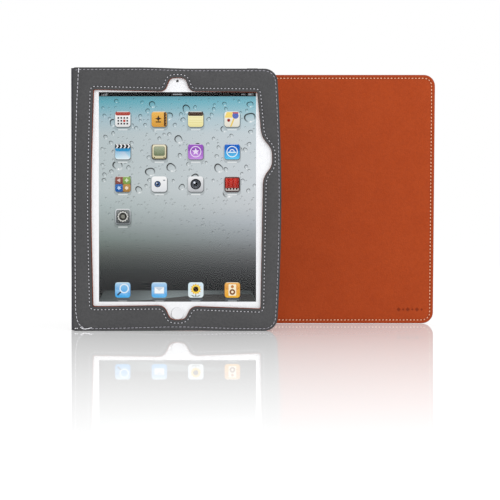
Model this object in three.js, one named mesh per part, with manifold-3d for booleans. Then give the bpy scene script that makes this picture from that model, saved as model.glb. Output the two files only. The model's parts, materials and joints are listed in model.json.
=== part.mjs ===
// An e-reader tablet in a soft folio that stands upright on its lower edges like a folding screen.
//
// The tablet slides down into a grey pocket, the holder. The rest of the folio starts at the pocket's
// left edge: a narrow spine, a front cover as wide as the pocket, an edge gusset and a wrap flap.
// Closed, the front cover lies over the glass, the gusset passes the right edge and the flap lies on
// the pocket's back. Here the cover is folded round behind and the flap stands out to the right.
//
// Millimetres. +X is to the reader's right, +Y goes back from the glass, +Z is up.
// Working frame: x = 0 near the pocket's middle, y = 0 on the pocket's face, z = 0 on the table.
// The group is moved at the end, so that its origin is the bottom centre of the whole.

import * as THREE from "three";
import { mergeVertices } from "three/addons/utils/BufferGeometryUtils.js";
import Module from "manifold-3d";

// ---------------------------------------------------------------- driving dimensions

const ARC_STEPS = 8; // straight steps in each rounded corner
const CLEAR = 0.1; // gap between sheets that lie on each other

const HOLDER = {
  left: -96.2,
  right: 96.4, // at the corners
  bow: 3.4, // how far the narrow right border bulges past them
  height: 247.6,
  rightRadius: 12.5,
  leftRadius: 2,
  faceSkin: 1.1,
  faceLining: 0.5,
  backLining: 0.7,
  board: 1.3,
  skin: 0.9,
  rimBand: 4.5, // stitched band outside the board
};
const POCKET = { depth: 9.2, sideWall: 1.1, keysLow: 142, keysHigh: 222, portHalf: 17 };

const TABLET = {
  x: 2.2, // its middle, off the pocket's middle because the spine side is padded
  bottom: 5.4,
  width: 185,
  height: 241,
  depth: 8.8,
  radius: 11,
  wall: 1.2,
  edgeRound: 6, // how far in the rounded back edge starts
  edgeDepth: 4.5, // how deep the rounded back edge is
};
const DISPLAY = { width: 147.8, height: 197.1 }; // the part that lights up
const GLASS = { thick: 1, inset: 0.8 };
const HOME = { radius: 5.6, up: 10.7, hole: 6 }; // up: its middle over the tablet's lower edge
const EYE = { radius: 1.3, down: 11.6 }; // down: its middle under the tablet's upper edge

// The window's corners: x, z, and how far each is rounded off.
const MIDDLE = TABLET.x;
const WINDOW = [
  [-77.6, 22.7, 1.5],
  // the home button's lobe
  [MIDDLE - 12.8, 22.4, 6],
  [MIDDLE - 7, 10.2, 5],
  [MIDDLE + 7, 10.2, 5],
  [MIDDLE + 12.8, 21.7, 6],
  [80.3, 21, 1.5],
  // the thumb notch
  [82.8, 144.5, 7],
  [91.2, 154.5, 5],
  [91.2, 171, 5.5],
  [81.3, 182.5, 6.5],
  [77.3, 224.4, 1.5],
  // the camera's lobe
  [MIDDLE + 12, 225.2, 5],
  [MIDDLE + 7.2, 237.9, 4.5],
  [MIDDLE - 7.2, 237.9, 4.5],
  [MIDDLE - 12, 226, 5],
  [-76.8, 226.9, 1.5],
  [-79.9, 125, 48],
];
const PIPING = 0.7; // how far the lining shows past the window's edge

const LEAF = {
  height: 247.6,
  skin: 0.9,
  board: 1.2,
  lining: 0.6,
  rimBand: 4.5, // stitched band outside the board
  radius: 11, // the flap's free corners
  axis: 0.45, // a fold runs in the middle of the skin
  foldGap: 0.8, // the skin stops this far from a fold
  stiffGap: 3.2, // board and lining stop this far from a fold
};
const FLAP_LENGTH = 166.4;
const CLOSED_GAP = 0.8; // air between the closed cover and the holder
const SPINE_TURN = 80; // from +X, in degrees, as it stands
const COVER_TURN = 36;
const GUSSET_TURN = 18;
const FLAP_TURN = 0;

const ROCKER = { middle: 190, length: 21 };
const SLIDER = { bottom: 210, length: 6, travel: 1.6 };
const POWER = { left: MIDDLE + 65, length: 10.6 };
const REAR_CAMERA = { x: MIDDLE + 77.5, down: 11.8, hole: 7 };

// ---------------------------------------------------------------- planes and edges that follow

const liningFront = HOLDER.faceSkin + CLEAR / 2;
const pocketFront = liningFront + HOLDER.faceLining + CLEAR;
const pocketBack = pocketFront + POCKET.depth;
const backLiningFront = pocketBack + CLEAR;
const trayFront = backLiningFront + HOLDER.backLining + CLEAR;
const backSkinFront = trayFront + HOLDER.board + CLEAR;
const holderBack = backSkinFront + HOLDER.skin;

const glassFront = pocketFront + 0.15;
const glassBack = glassFront + GLASS.thick;
const housingFront = glassBack + 0.5;
const screenFront = glassBack + 0.3;
const screenBack = screenFront + 2.2;
const plateBack = screenBack + 0.5;
const tabletBack = glassFront + TABLET.depth;
const tabletLeft = MIDDLE - TABLET.width / 2;
const tabletRight = MIDDLE + TABLET.width / 2;
const tabletTop = TABLET.bottom + TABLET.height;
const tabletMiddle = TABLET.bottom + TABLET.height / 2;
const homeHeight = TABLET.bottom + HOME.up;
const eyeHeight = tabletTop - EYE.down;
const rearCameraHeight = tabletTop - REAR_CAMERA.down;
const keyDepth = 6.3; // y of the middle of the keys in the tablet's edge

// Where the four upright folds come when the cover is closed round the holder.
const leafInner = LEAF.skin + LEAF.board + LEAF.lining + 2 * CLEAR - LEAF.axis;
const stripInner = LEAF.skin + LEAF.lining + CLEAR - LEAF.axis;
const spineFold = {
  x: HOLDER.left - CLOSED_GAP - stripInner,
  y: holderBack - HOLDER.skin / 2,
};
const closedFront = -CLOSED_GAP - leafInner;
const closedBack = holderBack + CLOSED_GAP + leafInner;
const closedRight = HOLDER.right + HOLDER.bow + CLOSED_GAP + stripInner;
const spineLength = spineFold.y - closedFront;
const coverLength = closedRight - spineFold.x;
const gussetLength = closedBack - closedFront;

// ---------------------------------------------------------------- materials

const finish = (color, roughness, metalness = 0) =>
  new THREE.MeshStandardMaterial({ color, roughness, metalness });

const GREY_LEATHER = finish(0x56565a, 0.75);
const ORANGE_LEATHER = finish(0xa84a26, 0.6);
const GREY_LINING = finish(0x6b6b6e, 0.95);
const BOARD = finish(0xb9a98c, 0.9);
const ALUMINIUM = finish(0xc6c8cb, 0.35, 1);
const CLEAR_GLASS = finish(0xf4f7f8, 0.05);
const WHITE_BORDER = finish(0xf3f3f4, 0.35);
const DARK_PLASTIC = finish(0x1c1c1e, 0.5);
const SCREEN = finish(0x8fa4a8, 0.3);
const STEEL = finish(0xa7a9ac, 0.3, 1);
const CELL = finish(0x26282b, 0.45);
const CIRCUIT = finish(0x1f5a3a, 0.55);
const COPPER_FLEX = finish(0xb26a2c, 0.4);
const GASKET = finish(0x8b8d90, 0.7);

// ---------------------------------------------------------------- solids

const wasm = await Module();
wasm.setup();

// A closed geometry as a manifold-3d solid.
function solid(geometry) {
  const bare = geometry.clone();
  bare.deleteAttribute("normal");
  bare.deleteAttribute("uv");
  const merged = mergeVertices(bare, 1e-4);
  const vertProperties = merged.getAttribute("position").array;
  const triVerts = new Uint32Array(merged.index.array);
  return new wasm.Manifold(new wasm.Mesh({ numProp: 3, vertProperties, triVerts }));
}

function fromSolid(made) {
  const { vertProperties, triVerts } = made.getMesh();
  const geometry = new THREE.BufferGeometry();
  geometry.setAttribute("position", new THREE.BufferAttribute(vertProperties, 3));
  geometry.setIndex(new THREE.BufferAttribute(triVerts, 1));
  geometry.computeVertexNormals();
  return geometry;
}

const cut = (geometry, ...tools) =>
  fromSolid(tools.reduce((left, tool) => left.subtract(solid(tool)), solid(geometry)));

const join = (first, second) => fromSolid(solid(first).add(solid(second)));

const box = (x0, x1, y0, y1, z0, z1) =>
  new THREE.BoxGeometry(x1 - x0, y1 - y0, z1 - z0).translate(
    (x0 + x1) / 2,
    (y0 + y1) / 2,
    (z0 + z1) / 2,
  );

// An outline in X and Z, given its thickness from y = front back to y = back.
const panel = (shape, front, back) =>
  new THREE.ExtrudeGeometry(shape, {
    depth: back - front,
    bevelEnabled: false,
    curveSegments: ARC_STEPS,
  })
    .translate(0, 0, -back)
    .rotateX(Math.PI / 2);

const rodAlongY = (radius, x, z, y0, y1, sides = 20) =>
  new THREE.CylinderGeometry(radius, radius, y1 - y0, sides).translate(x, (y0 + y1) / 2, z);

const rodAlongZ = (radius, x, y, z0, z1, sides = 16) =>
  new THREE.CylinderGeometry(radius, radius, z1 - z0, sides)
    .rotateX(Math.PI / 2)
    .translate(x, y, (z0 + z1) / 2);

function mesh(name, material, geometry) {
  const made = new THREE.Mesh(geometry, material);
  made.name = name;
  return made;
}

const group = (...members) => new THREE.Group().add(...members);

// ---------------------------------------------------------------- outlines, in X and Z

// A rectangle with its own radius at each corner; a bow bulges its right side.
function rectangle(left, right, bottom, top, radii = {}, bow = 0) {
  const { bl = 0, br = 0, tr = 0, tl = 0 } = radii;
  const shape = new THREE.Shape();
  shape.moveTo(left + bl, bottom);
  shape.lineTo(right - br, bottom);
  if (br) shape.absarc(right - br, bottom + br, br, -Math.PI / 2, 0);
  if (bow) shape.quadraticCurveTo(right + 2 * bow, (bottom + top) / 2, right, top - tr);
  else shape.lineTo(right, top - tr);
  if (tr) shape.absarc(right - tr, top - tr, tr, 0, Math.PI / 2);
  shape.lineTo(left + tl, top);
  if (tl) shape.absarc(left + tl, top - tl, tl, Math.PI / 2, Math.PI);
  shape.lineTo(left, bottom + bl);
  if (bl) shape.absarc(left + bl, bottom + bl, bl, Math.PI, 1.5 * Math.PI);
  return shape;
}

const everyCorner = (r) => ({ bl: r, br: r, tr: r, tl: r });

const circle = (x, z, radius) => new THREE.Path().absarc(x, z, radius, 0, 2 * Math.PI);

// The corners moved so that every side lies `inset` further in.
function shrink(corners, inset) {
  const count = corners.length;
  const normals = corners.map(([x, z], i) => {
    const [nextX, nextZ] = corners[(i + 1) % count];
    return new THREE.Vector2(-(nextZ - z), nextX - x).normalize();
  });
  return corners.map(([x, z, rounding], i) => {
    const before = normals[(i + count - 1) % count];
    const after = normals[i];
    const share = inset / (1 + before.dot(after));
    return [x + (before.x + after.x) * share, z + (before.y + after.y) * share, rounding];
  });
}

// A closed path round the corners, each one rounded off.
function softPath(corners) {
  const path = new THREE.Path();
  const at = corners.map(([x, z]) => new THREE.Vector2(x, z));
  at.forEach((corner, i) => {
    const rounding = corners[i][2];
    const before = at[(i + at.length - 1) % at.length].clone().sub(corner).setLength(rounding);
    const after = at[(i + 1) % at.length].clone().sub(corner).setLength(rounding);
    before.add(corner);
    after.add(corner);
    if (i) path.lineTo(before.x, before.y);
    else path.moveTo(before.x, before.y);
    path.quadraticCurveTo(corner.x, corner.y, after.x, after.y);
  });
  path.closePath();
  return path;
}

const HOLDER_RADII = {
  bl: HOLDER.leftRadius,
  tl: HOLDER.leftRadius,
  br: HOLDER.rightRadius,
  tr: HOLDER.rightRadius,
};

const holderOutline = () =>
  rectangle(HOLDER.left, HOLDER.right, 0, HOLDER.height, HOLDER_RADII, HOLDER.bow);

const holderBoard = (gap) =>
  rectangle(
    HOLDER.left + HOLDER.rimBand + gap,
    HOLDER.right - HOLDER.rimBand - gap,
    HOLDER.rimBand + gap,
    HOLDER.height - HOLDER.rimBand - gap,
    everyCorner(HOLDER.rightRadius - HOLDER.rimBand),
  );

const tabletOutline = (inset) =>
  rectangle(
    tabletLeft + inset,
    tabletRight - inset,
    TABLET.bottom + inset,
    tabletTop - inset,
    everyCorner(TABLET.radius - inset),
  );

// ---------------------------------------------------------------- the holder

function facePanels() {
  const face = holderOutline();
  face.holes.push(softPath(WINDOW));
  const lining = holderOutline();
  lining.holes.push(softPath(shrink(WINDOW, PIPING)));
  return [
    mesh("face_frame", GREY_LEATHER, panel(face, 0, HOLDER.faceSkin)),
    mesh(
      "face_lining",
      ORANGE_LEATHER,
      panel(lining, liningFront, liningFront + HOLDER.faceLining),
    ),
  ];
}

// Walls stand between the face and the back. The top is open so that the tablet can slide out, and
// the walls leave the edge keys and the charging port free.
function pocketWalls() {
  const wall = (name, x0, x1, z0, z1) =>
    mesh(name, GREY_LEATHER, box(x0, x1, pocketFront, pocketBack, z0, z1));
  const sideOuter = HOLDER.right + 0.1;
  const sideInner = sideOuter - POCKET.sideWall;
  const floor = TABLET.bottom - 0.3;
  const radius = HOLDER.rightRadius;
  return [
    wall("wall_left", HOLDER.left, tabletLeft - 0.5, 0, HOLDER.height - 1),
    wall("wall_right_lower", sideInner, sideOuter, radius, POCKET.keysLow),
    wall("wall_right_upper", sideInner, sideOuter, POCKET.keysHigh, HOLDER.height - radius),
    wall("wall_bottom_left", tabletLeft - 0.4, MIDDLE - POCKET.portHalf, 0, floor),
    wall("wall_bottom_right", MIDDLE + POCKET.portHalf, HOLDER.right - radius, 0, floor),
  ];
}

// The back is a board between a lining and a skin. The skin's rim closes round the board, and the
// skin runs on past the left edge to the spine's fold.
function backPanels() {
  const hole = rodAlongY(
    REAR_CAMERA.hole,
    REAR_CAMERA.x,
    rearCameraHeight,
    pocketBack,
    holderBack + 1,
    28,
  );
  const tray = cut(
    panel(holderOutline(), trayFront, holderBack),
    panel(holderBoard(0), trayFront - 1, backSkinFront),
    hole,
  );
  const foldEdge = spineFold.x + LEAF.foldGap;
  const ledge = box(foldEdge, HOLDER.left + 2, backSkinFront, holderBack, 0, LEAF.height);
  const lining = panel(holderOutline(), backLiningFront, backLiningFront + HOLDER.backLining);
  const board = panel(holderBoard(CLEAR), trayFront, trayFront + HOLDER.board);
  return [
    mesh("back_lining", GREY_LINING, cut(lining, hole)),
    mesh("back_board", BOARD, cut(board, hole)),
    mesh("back_skin", GREY_LEATHER, join(tray, ledge)),
  ];
}

// ---------------------------------------------------------------- the folio's cover

const leafSheet = (x0, x1, inset, radius) =>
  rectangle(x0, x1, inset, LEAF.height - inset, { br: radius, tr: radius });

// A stiff leaf in its own frame: x runs from its first fold to its far edge, y = 0 is the fold's
// plane, and its outer, orange face looks towards -y. A free far edge has rounded corners.
function leaf(name, length, free) {
  const radius = free ? LEAF.radius : 0;
  const skinEnd = free ? length : length - LEAF.foldGap;
  const stiffEnd = free ? length : length - LEAF.stiffGap;
  const skinFront = -LEAF.axis;
  const skinBack = skinFront + LEAF.skin;
  const rimBack = skinBack + LEAF.board + CLEAR;
  const boardSheet = (gap) =>
    leafSheet(
      LEAF.stiffGap + 2 + gap,
      stiffEnd - (free ? LEAF.rimBand : 2) - gap,
      LEAF.rimBand + gap,
      free ? LEAF.radius - LEAF.rimBand : 0,
    );
  const stiffSheet = leafSheet(LEAF.stiffGap, stiffEnd, 0, radius);
  const plate = panel(leafSheet(LEAF.foldGap, skinEnd, 0, radius), skinFront, skinBack);
  const rim = cut(
    panel(stiffSheet, skinBack - 0.1, rimBack),
    panel(boardSheet(0), skinBack - 1, rimBack + 1),
  );
  return [
    mesh(`${name}_skin`, ORANGE_LEATHER, join(plate, rim)),
    mesh(
      `${name}_board`,
      BOARD,
      panel(boardSheet(CLEAR), skinBack + CLEAR, skinBack + LEAF.board),
    ),
    mesh(
      `${name}_lining`,
      GREY_LINING,
      panel(stiffSheet, rimBack + CLEAR, rimBack + LEAF.lining),
    ),
  ];
}

// A soft strip between two folds: the spine or the gusset.
function strip(name, material, length) {
  const skinBack = LEAF.skin - LEAF.axis;
  const sheet = (gap) => leafSheet(gap, length - gap, 0, 0);
  const lining = panel(
    sheet(LEAF.stiffGap),
    skinBack + CLEAR,
    skinBack + CLEAR + LEAF.lining,
  );
  return [
    mesh(`${name}_skin`, material, panel(sheet(LEAF.foldGap), -LEAF.axis, skinBack)),
    mesh(`${name}_lining`, GREY_LINING, lining),
  ];
}

// The cover's parts, from the pocket outwards. Each one hangs on a fold at the end of the one
// before it, and turn is its own direction in degrees from +X.
const COVER = [
  {
    turn: SPINE_TURN,
    length: spineLength,
    make: (length) => strip("spine", GREY_LEATHER, length),
  },
  {
    turn: COVER_TURN,
    length: coverLength,
    make: (length) => leaf("front_cover", length, false),
  },
  {
    turn: GUSSET_TURN,
    length: gussetLength,
    make: (length) => strip("gusset", ORANGE_LEATHER, length),
  },
  {
    turn: FLAP_TURN,
    length: FLAP_LENGTH,
    make: (length) => leaf("wrap_flap", length, true),
  },
];

function foldedCover() {
  const cover = new THREE.Group();
  const fold = new THREE.Vector2(spineFold.x, spineFold.y);
  for (const { turn, length, make } of COVER) {
    const angle = THREE.MathUtils.degToRad(turn);
    const part = group(...make(length));
    part.position.set(fold.x, fold.y, 0);
    part.rotation.z = angle;
    cover.add(part);
    fold.add(new THREE.Vector2(Math.cos(angle), Math.sin(angle)).multiplyScalar(length));
  }
  return cover;
}

// ---------------------------------------------------------------- the tablet's shell

// A slab whose back edge is rounded off; it is made twice as deep as needed and its front half is
// cut away. inset makes the smaller slab that hollows out the housing.
function slab(inset) {
  const straight = TABLET.depth - (housingFront - glassFront) - TABLET.edgeDepth;
  const round = TABLET.edgeRound - inset / 3;
  return new THREE.ExtrudeGeometry(tabletOutline(inset), {
    depth: 2 * straight,
    bevelThickness: TABLET.edgeDepth - inset,
    bevelSize: round,
    bevelOffset: -round,
    bevelSegments: 4,
    curveSegments: ARC_STEPS,
  })
    .translate(0, 0, -straight - housingFront)
    .rotateX(Math.PI / 2);
}

function rearHousing() {
  const y0 = keyDepth - 1.5;
  const y1 = keyDepth + 1.5;
  const edgeSlot = (z0, z1) =>
    box(tabletRight - 3, tabletRight + 1, y0, y1, z0 - 0.4, z1 + 0.4);
  const topSlot = (x0, x1) =>
    box(x0 - 0.4, x1 + 0.4, y0, y1, tabletTop - 4, tabletTop + 1);
  const bottom = TABLET.bottom;
  const speakerHoles = [];
  for (let i = 0; i < 6; i++) {
    const x = MIDDLE + 46 + 5 * i;
    speakerHoles.push(rodAlongZ(0.6, x, keyDepth, bottom - 1, bottom + 4, 8));
  }
  return mesh(
    "rear_housing",
    ALUMINIUM,
    cut(
      slab(0),
      slab(TABLET.wall),
      box(-200, 200, -60, housingFront, -10, 300),
      topSlot(POWER.left, POWER.left + POWER.length),
      edgeSlot(ROCKER.middle - ROCKER.length / 2, ROCKER.middle + ROCKER.length / 2),
      edgeSlot(SLIDER.bottom - SLIDER.travel, SLIDER.bottom + SLIDER.length),
      box(MIDDLE - 10.8, MIDDLE + 10.8, 5.6, 8.2, bottom - 1, bottom + 3),
      rodAlongZ(2.6, MIDDLE - 74, keyDepth, tabletTop - 4, tabletTop + 1),
      rodAlongY(3.3, REAR_CAMERA.x, rearCameraHeight, tabletBack - 3, tabletBack + 1),
      ...speakerHoles,
    ),
  );
}

function frontStack() {
  const homeHole = () => circle(MIDDLE, homeHeight, HOME.hole);
  const glass = tabletOutline(GLASS.inset);
  glass.holes.push(homeHole());
  const border = tabletOutline(GLASS.inset + 0.2);
  border.holes.push(
    homeHole(),
    circle(MIDDLE, eyeHeight, EYE.radius),
    rectangle(
      MIDDLE - DISPLAY.width / 2,
      MIDDLE + DISPLAY.width / 2,
      tabletMiddle - DISPLAY.height / 2,
      tabletMiddle + DISPLAY.height / 2,
    ),
  );
  const gasket = tabletOutline(0.1);
  gasket.holes.push(tabletOutline(GLASS.inset - 0.12));
  return [
    mesh("cover_glass", CLEAR_GLASS, panel(glass, glassFront, glassBack)),
    mesh("glass_border", WHITE_BORDER, panel(border, glassBack + 0.05, glassBack + 0.25)),
    mesh("bezel_gasket", GASKET, panel(gasket, glassFront + 0.15, housingFront - 0.15)),
  ];
}

// ---------------------------------------------------------------- inside the tablet

// A block placed from the tablet's middle line and its lower edge.
const block = (name, material, x0, x1, y0, y1, up0, up1) =>
  mesh(
    name,
    material,
    box(MIDDLE + x0, MIDDLE + x1, y0, y1, TABLET.bottom + up0, TABLET.bottom + up1),
  );

function displayModule() {
  const half = DISPLAY.width / 2 + 3.6;
  const tall = DISPLAY.height / 2 + 3.9;
  const centre = TABLET.height / 2;
  const parts = [
    block(
      "lcd_panel",
      SCREEN,
      -half,
      half,
      screenFront,
      screenBack,
      centre - tall,
      centre + tall,
    ),
    block(
      "lcd_backplate",
      STEEL,
      1 - half,
      half - 1,
      screenBack + 0.1,
      plateBack,
      centre - tall + 1,
      centre + tall - 1,
    ),
    block("display_ribbon", COPPER_FLEX, 56, 72, plateBack + 0.1, plateBack + 0.35, 20, 56),
  ];
  const corners = [
    [-1, -1],
    [1, -1],
    [-1, 1],
    [1, 1],
  ];
  corners.forEach(([side, end], i) => {
    const x = MIDDLE + side * (half + 2);
    const z = tabletMiddle + end * (tall - 4.5);
    const head = rodAlongY(1.5, x, z, screenFront + 0.2, screenFront + 1, 12);
    const shank = rodAlongY(0.7, x, z, screenFront + 0.9, screenFront + 3.8, 12);
    parts.push(mesh(`display_screw_${i + 1}`, STEEL, join(head, shank)));
  });
  return parts;
}

function powerAndLogic() {
  const front = plateBack + 0.2;
  const width = 42;
  const cells = ["left", "middle", "right"].map((place, i) => {
    const x0 = -80 + i * (width + 0.8);
    return block(`battery_${place}`, CELL, x0, x0 + width, front, front + 3, 44, 199);
  });
  return [
    ...cells,
    block("battery_ribbon", COPPER_FLEX, 47.8, 51.8, 6.9, 7.1, 94, 106),
    block("logic_board", CIRCUIT, 52, 84, 6.6, 7.4, 60, 214),
    block("shield_can", STEEL, 56, 80, 7.5, 9.1, 144, 194),
  ];
}

function portsAndSensors() {
  const up = TABLET.height;
  const port = cut(
    box(MIDDLE - 12, MIDDLE + 12, 5.3, 8.5, TABLET.bottom + 3.7, TABLET.bottom + 11),
    box(MIDDLE - 10, MIDDLE + 10, 6, 7.8, TABLET.bottom, TABLET.bottom + 9),
  );
  const jackX = MIDDLE - 74;
  const jack = cut(
    box(jackX - 3.2, jackX + 3.2, 3.6, 8.8, tabletTop - 17, tabletTop - 5.4),
    rodAlongZ(1.8, jackX, keyDepth, tabletTop - 15.2, tabletTop),
  );
  const rearX = REAR_CAMERA.x;
  const rearZ = rearCameraHeight;
  const edge = TABLET.width / 2;
  return [
    mesh("charging_port", STEEL, port),
    mesh("headphone_jack", DARK_PLASTIC, jack),
    mesh(
      "front_camera",
      DARK_PLASTIC,
      rodAlongY(2.6, MIDDLE, eyeHeight, screenFront, 7.2),
    ),
    mesh(
      "rear_camera",
      DARK_PLASTIC,
      box(rearX - 4, rearX + 4, 6.2, 9.2, rearZ - 4, rearZ + 4),
    ),
    mesh(
      "rear_camera_window",
      CLEAR_GLASS,
      rodAlongY(3, rearX, rearZ, 9.35, tabletBack - 0.1),
    ),
    block("speaker_module", DARK_PLASTIC, 42, 76, 4, 8.3, 3.8, 12),
    block("wifi_antenna", DARK_PLASTIC, -52, -14, 4, 7.6, up - 13, up - 3),
    block("home_switch", DARK_PLASTIC, -5, 5, 4.35, 5.1, 6.2, 15.2),
    block("power_switch", DARK_PLASTIC, 65.4, 75.2, 5, 7.4, up - 6.6, up - 3.2),
    block("volume_switch", DARK_PLASTIC, edge - 4.6, edge - 2.6, 4.8, 7.6, 172, 197),
    block("slider_switch", DARK_PLASTIC, edge - 4.6, edge - 2.6, 4.8, 7.6, 201, 213),
  ];
}

// ---------------------------------------------------------------- keys that move

function keys() {
  const y0 = keyDepth - 1.1;
  const y1 = keyDepth + 1.1;
  const out = tabletRight + 0.5;
  const edgeKey = (name, z0, z1) =>
    mesh(name, DARK_PLASTIC, box(out - 2.4, out, y0, y1, z0, z1));
  const half = ROCKER.length / 2;
  const top = tabletTop + 0.5;
  const home = rodAlongY(
    HOME.radius,
    MIDDLE,
    homeHeight,
    glassFront + 0.15,
    glassFront + 1.7,
    36,
  );
  return [
    mesh("home_button", WHITE_BORDER, home),
    mesh(
      "power_button",
      DARK_PLASTIC,
      box(POWER.left, POWER.left + POWER.length, y0, y1, top - 2.6, top),
    ),
    edgeKey("volume_rocker", ROCKER.middle - half, ROCKER.middle + half),
    edgeKey("side_switch", SLIDER.bottom, SLIDER.bottom + SLIDER.length),
  ];
}

// ---------------------------------------------------------------- the whole

const holder = group(...facePanels(), ...pocketWalls(), ...backPanels());
const tablet = group(
  rearHousing(),
  ...frontStack(),
  ...displayModule(),
  ...powerAndLogic(),
  ...portsAndSensors(),
  ...keys(),
);

const reader = group(holder, tablet, foldedCover());
reader.updateMatrixWorld(true);
const extent = new THREE.Box3().setFromObject(reader, true);
const centre = extent.getCenter(new THREE.Vector3());
reader.position.set(-centre.x, -centre.y, -extent.min.z);

export default reader;
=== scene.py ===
# The look of an e-reader in a stitched leather folio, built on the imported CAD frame.
#
# Shapes are in the working frame, in millimetres: x = 0 near the pocket's middle, y = 0 on the
# pocket's face, z = 0 on the table. The cover's leaves have frames of their own, in which x runs
# from the leaf's first fold and the outer leather looks towards -y. Outlines are in x and z.

import json
import math
import random

import bmesh
import bpy
import numpy as np
from mathutils import Matrix, Vector, noise
from mathutils.geometry import delaunay_2d_cdt


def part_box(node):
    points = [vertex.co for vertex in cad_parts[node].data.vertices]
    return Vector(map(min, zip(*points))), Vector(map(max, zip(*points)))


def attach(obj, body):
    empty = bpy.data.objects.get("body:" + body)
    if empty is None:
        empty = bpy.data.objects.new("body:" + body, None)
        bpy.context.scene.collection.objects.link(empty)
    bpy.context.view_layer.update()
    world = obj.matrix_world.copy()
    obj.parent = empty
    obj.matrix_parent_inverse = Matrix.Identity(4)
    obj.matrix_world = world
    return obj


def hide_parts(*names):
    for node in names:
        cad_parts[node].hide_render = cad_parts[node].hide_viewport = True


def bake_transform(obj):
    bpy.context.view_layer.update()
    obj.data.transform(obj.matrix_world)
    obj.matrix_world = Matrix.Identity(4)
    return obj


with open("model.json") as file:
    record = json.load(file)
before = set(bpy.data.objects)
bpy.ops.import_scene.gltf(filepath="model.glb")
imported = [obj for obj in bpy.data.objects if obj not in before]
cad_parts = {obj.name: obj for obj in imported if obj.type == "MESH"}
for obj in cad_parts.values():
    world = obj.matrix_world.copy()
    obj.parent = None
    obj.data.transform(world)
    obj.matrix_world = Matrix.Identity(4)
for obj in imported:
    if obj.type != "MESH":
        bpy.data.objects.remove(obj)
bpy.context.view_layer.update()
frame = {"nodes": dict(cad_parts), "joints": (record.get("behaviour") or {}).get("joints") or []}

MM = 0.001
MIDDLE = 2.2  # the tablet's middle line
HEIGHT = 247.6
HOLDER_LEFT, HOLDER_RIGHT = -96.2, 96.4
BOW, HOLDER_ROUND = 3.4, 12.5  # how far its right side bulges, and its right corners
FACE_BACK = 1.1
POCKET = (1.8, 10.9)  # y of the pocket's walls
BACK = 14.15
BOARD_FRONT = 13.23  # where the back's leather lies on its board
TABLET_BOTTOM, TABLET_TOP = 5.4, 246.4
TABLET_HALF, TABLET_RADIUS = 92.5, 11.0
TABLET_RIGHT = MIDDLE + TABLET_HALF
GLASS_FRONT, HOUSING_FRONT, TABLET_BACK = 1.9, 3.4, 10.7
EDGE_ROUND, EDGE_DEPTH, WALL = 6.0, 4.5, 1.2  # the housing's rounded back edge and its wall
KEY_DEPTH = 6.3  # y of the keys
HOME_KEY = (MIDDLE, TABLET_BOTTOM + 10.7)
DISPLAY = (MIDDLE - 73.9, MIDDLE + 73.9, 27.35, 224.45)
CAMERA_HOLE = (MIDDLE + 77.5, 234.6, 7.0)
SKIN = 0.45  # half the leather's thickness
RIM, STIFF, LEAF_BACK = 4.5, 3.2, 1.75
FLAP_LENGTH = 166.4
CORNER = 11.0  # the flap's free corners
MARK = (218.4, 13.8)  # where the row of pressed lozenges starts
DISPLAY_Y, LAYER = 3.15, 0.012  # the display's face, and the step between its layers
TURNS = {"spine": 80, "front_cover": 36, "gusset": 18, "wrap_flap": 0}

glass_low, glass_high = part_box("cover_glass")
ORIGIN = Vector(
    ((glass_low.x + glass_high.x) / 2 - MIDDLE * MM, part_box("face_frame")[0].y, 0)
)
HOME = Matrix.Translation(ORIGIN) @ Matrix.Scale(MM, 4)
JOINTS = {joint["child"]: joint for joint in frame["joints"]}


def leaf_space(body):
    """The frame of a part of the cover, from its fold's place and its own direction."""
    x, y, _ = JOINTS[body]["pos_m"]
    turn = Matrix.Rotation(math.radians(TURNS[body]), 4, "Z")
    return Matrix.Translation((x, y, 0)) @ turn @ Matrix.Scale(MM, 4)


SPACES = {body: leaf_space(body) for body in TURNS}
fold_xy = {body: np.array((HOME.inverted() @ SPACES[body].translation)[:2]) for body in TURNS}


def between(first, second):
    return float(np.hypot(*(fold_xy[second] - fold_xy[first])))


COVER_LENGTH = between("front_cover", "gusset")
SPINE_LENGTH = between("spine", "front_cover")
GUSSET_LENGTH = between("gusset", "wrap_flap")

# ---------------------------------------------------------------- materials


def linear(rgb):
    """A colour from 0 to 255 as shown on a screen, as linear light."""
    shown = [c / 255 for c in rgb]
    return tuple(c / 12.92 if c <= 0.04045 else ((c + 0.055) / 1.055) ** 2.4 for c in shown) + (1.0,)


def darker(colour, by):
    return tuple(c * (1 - by) for c in colour[:3]) + (1,)


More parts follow.
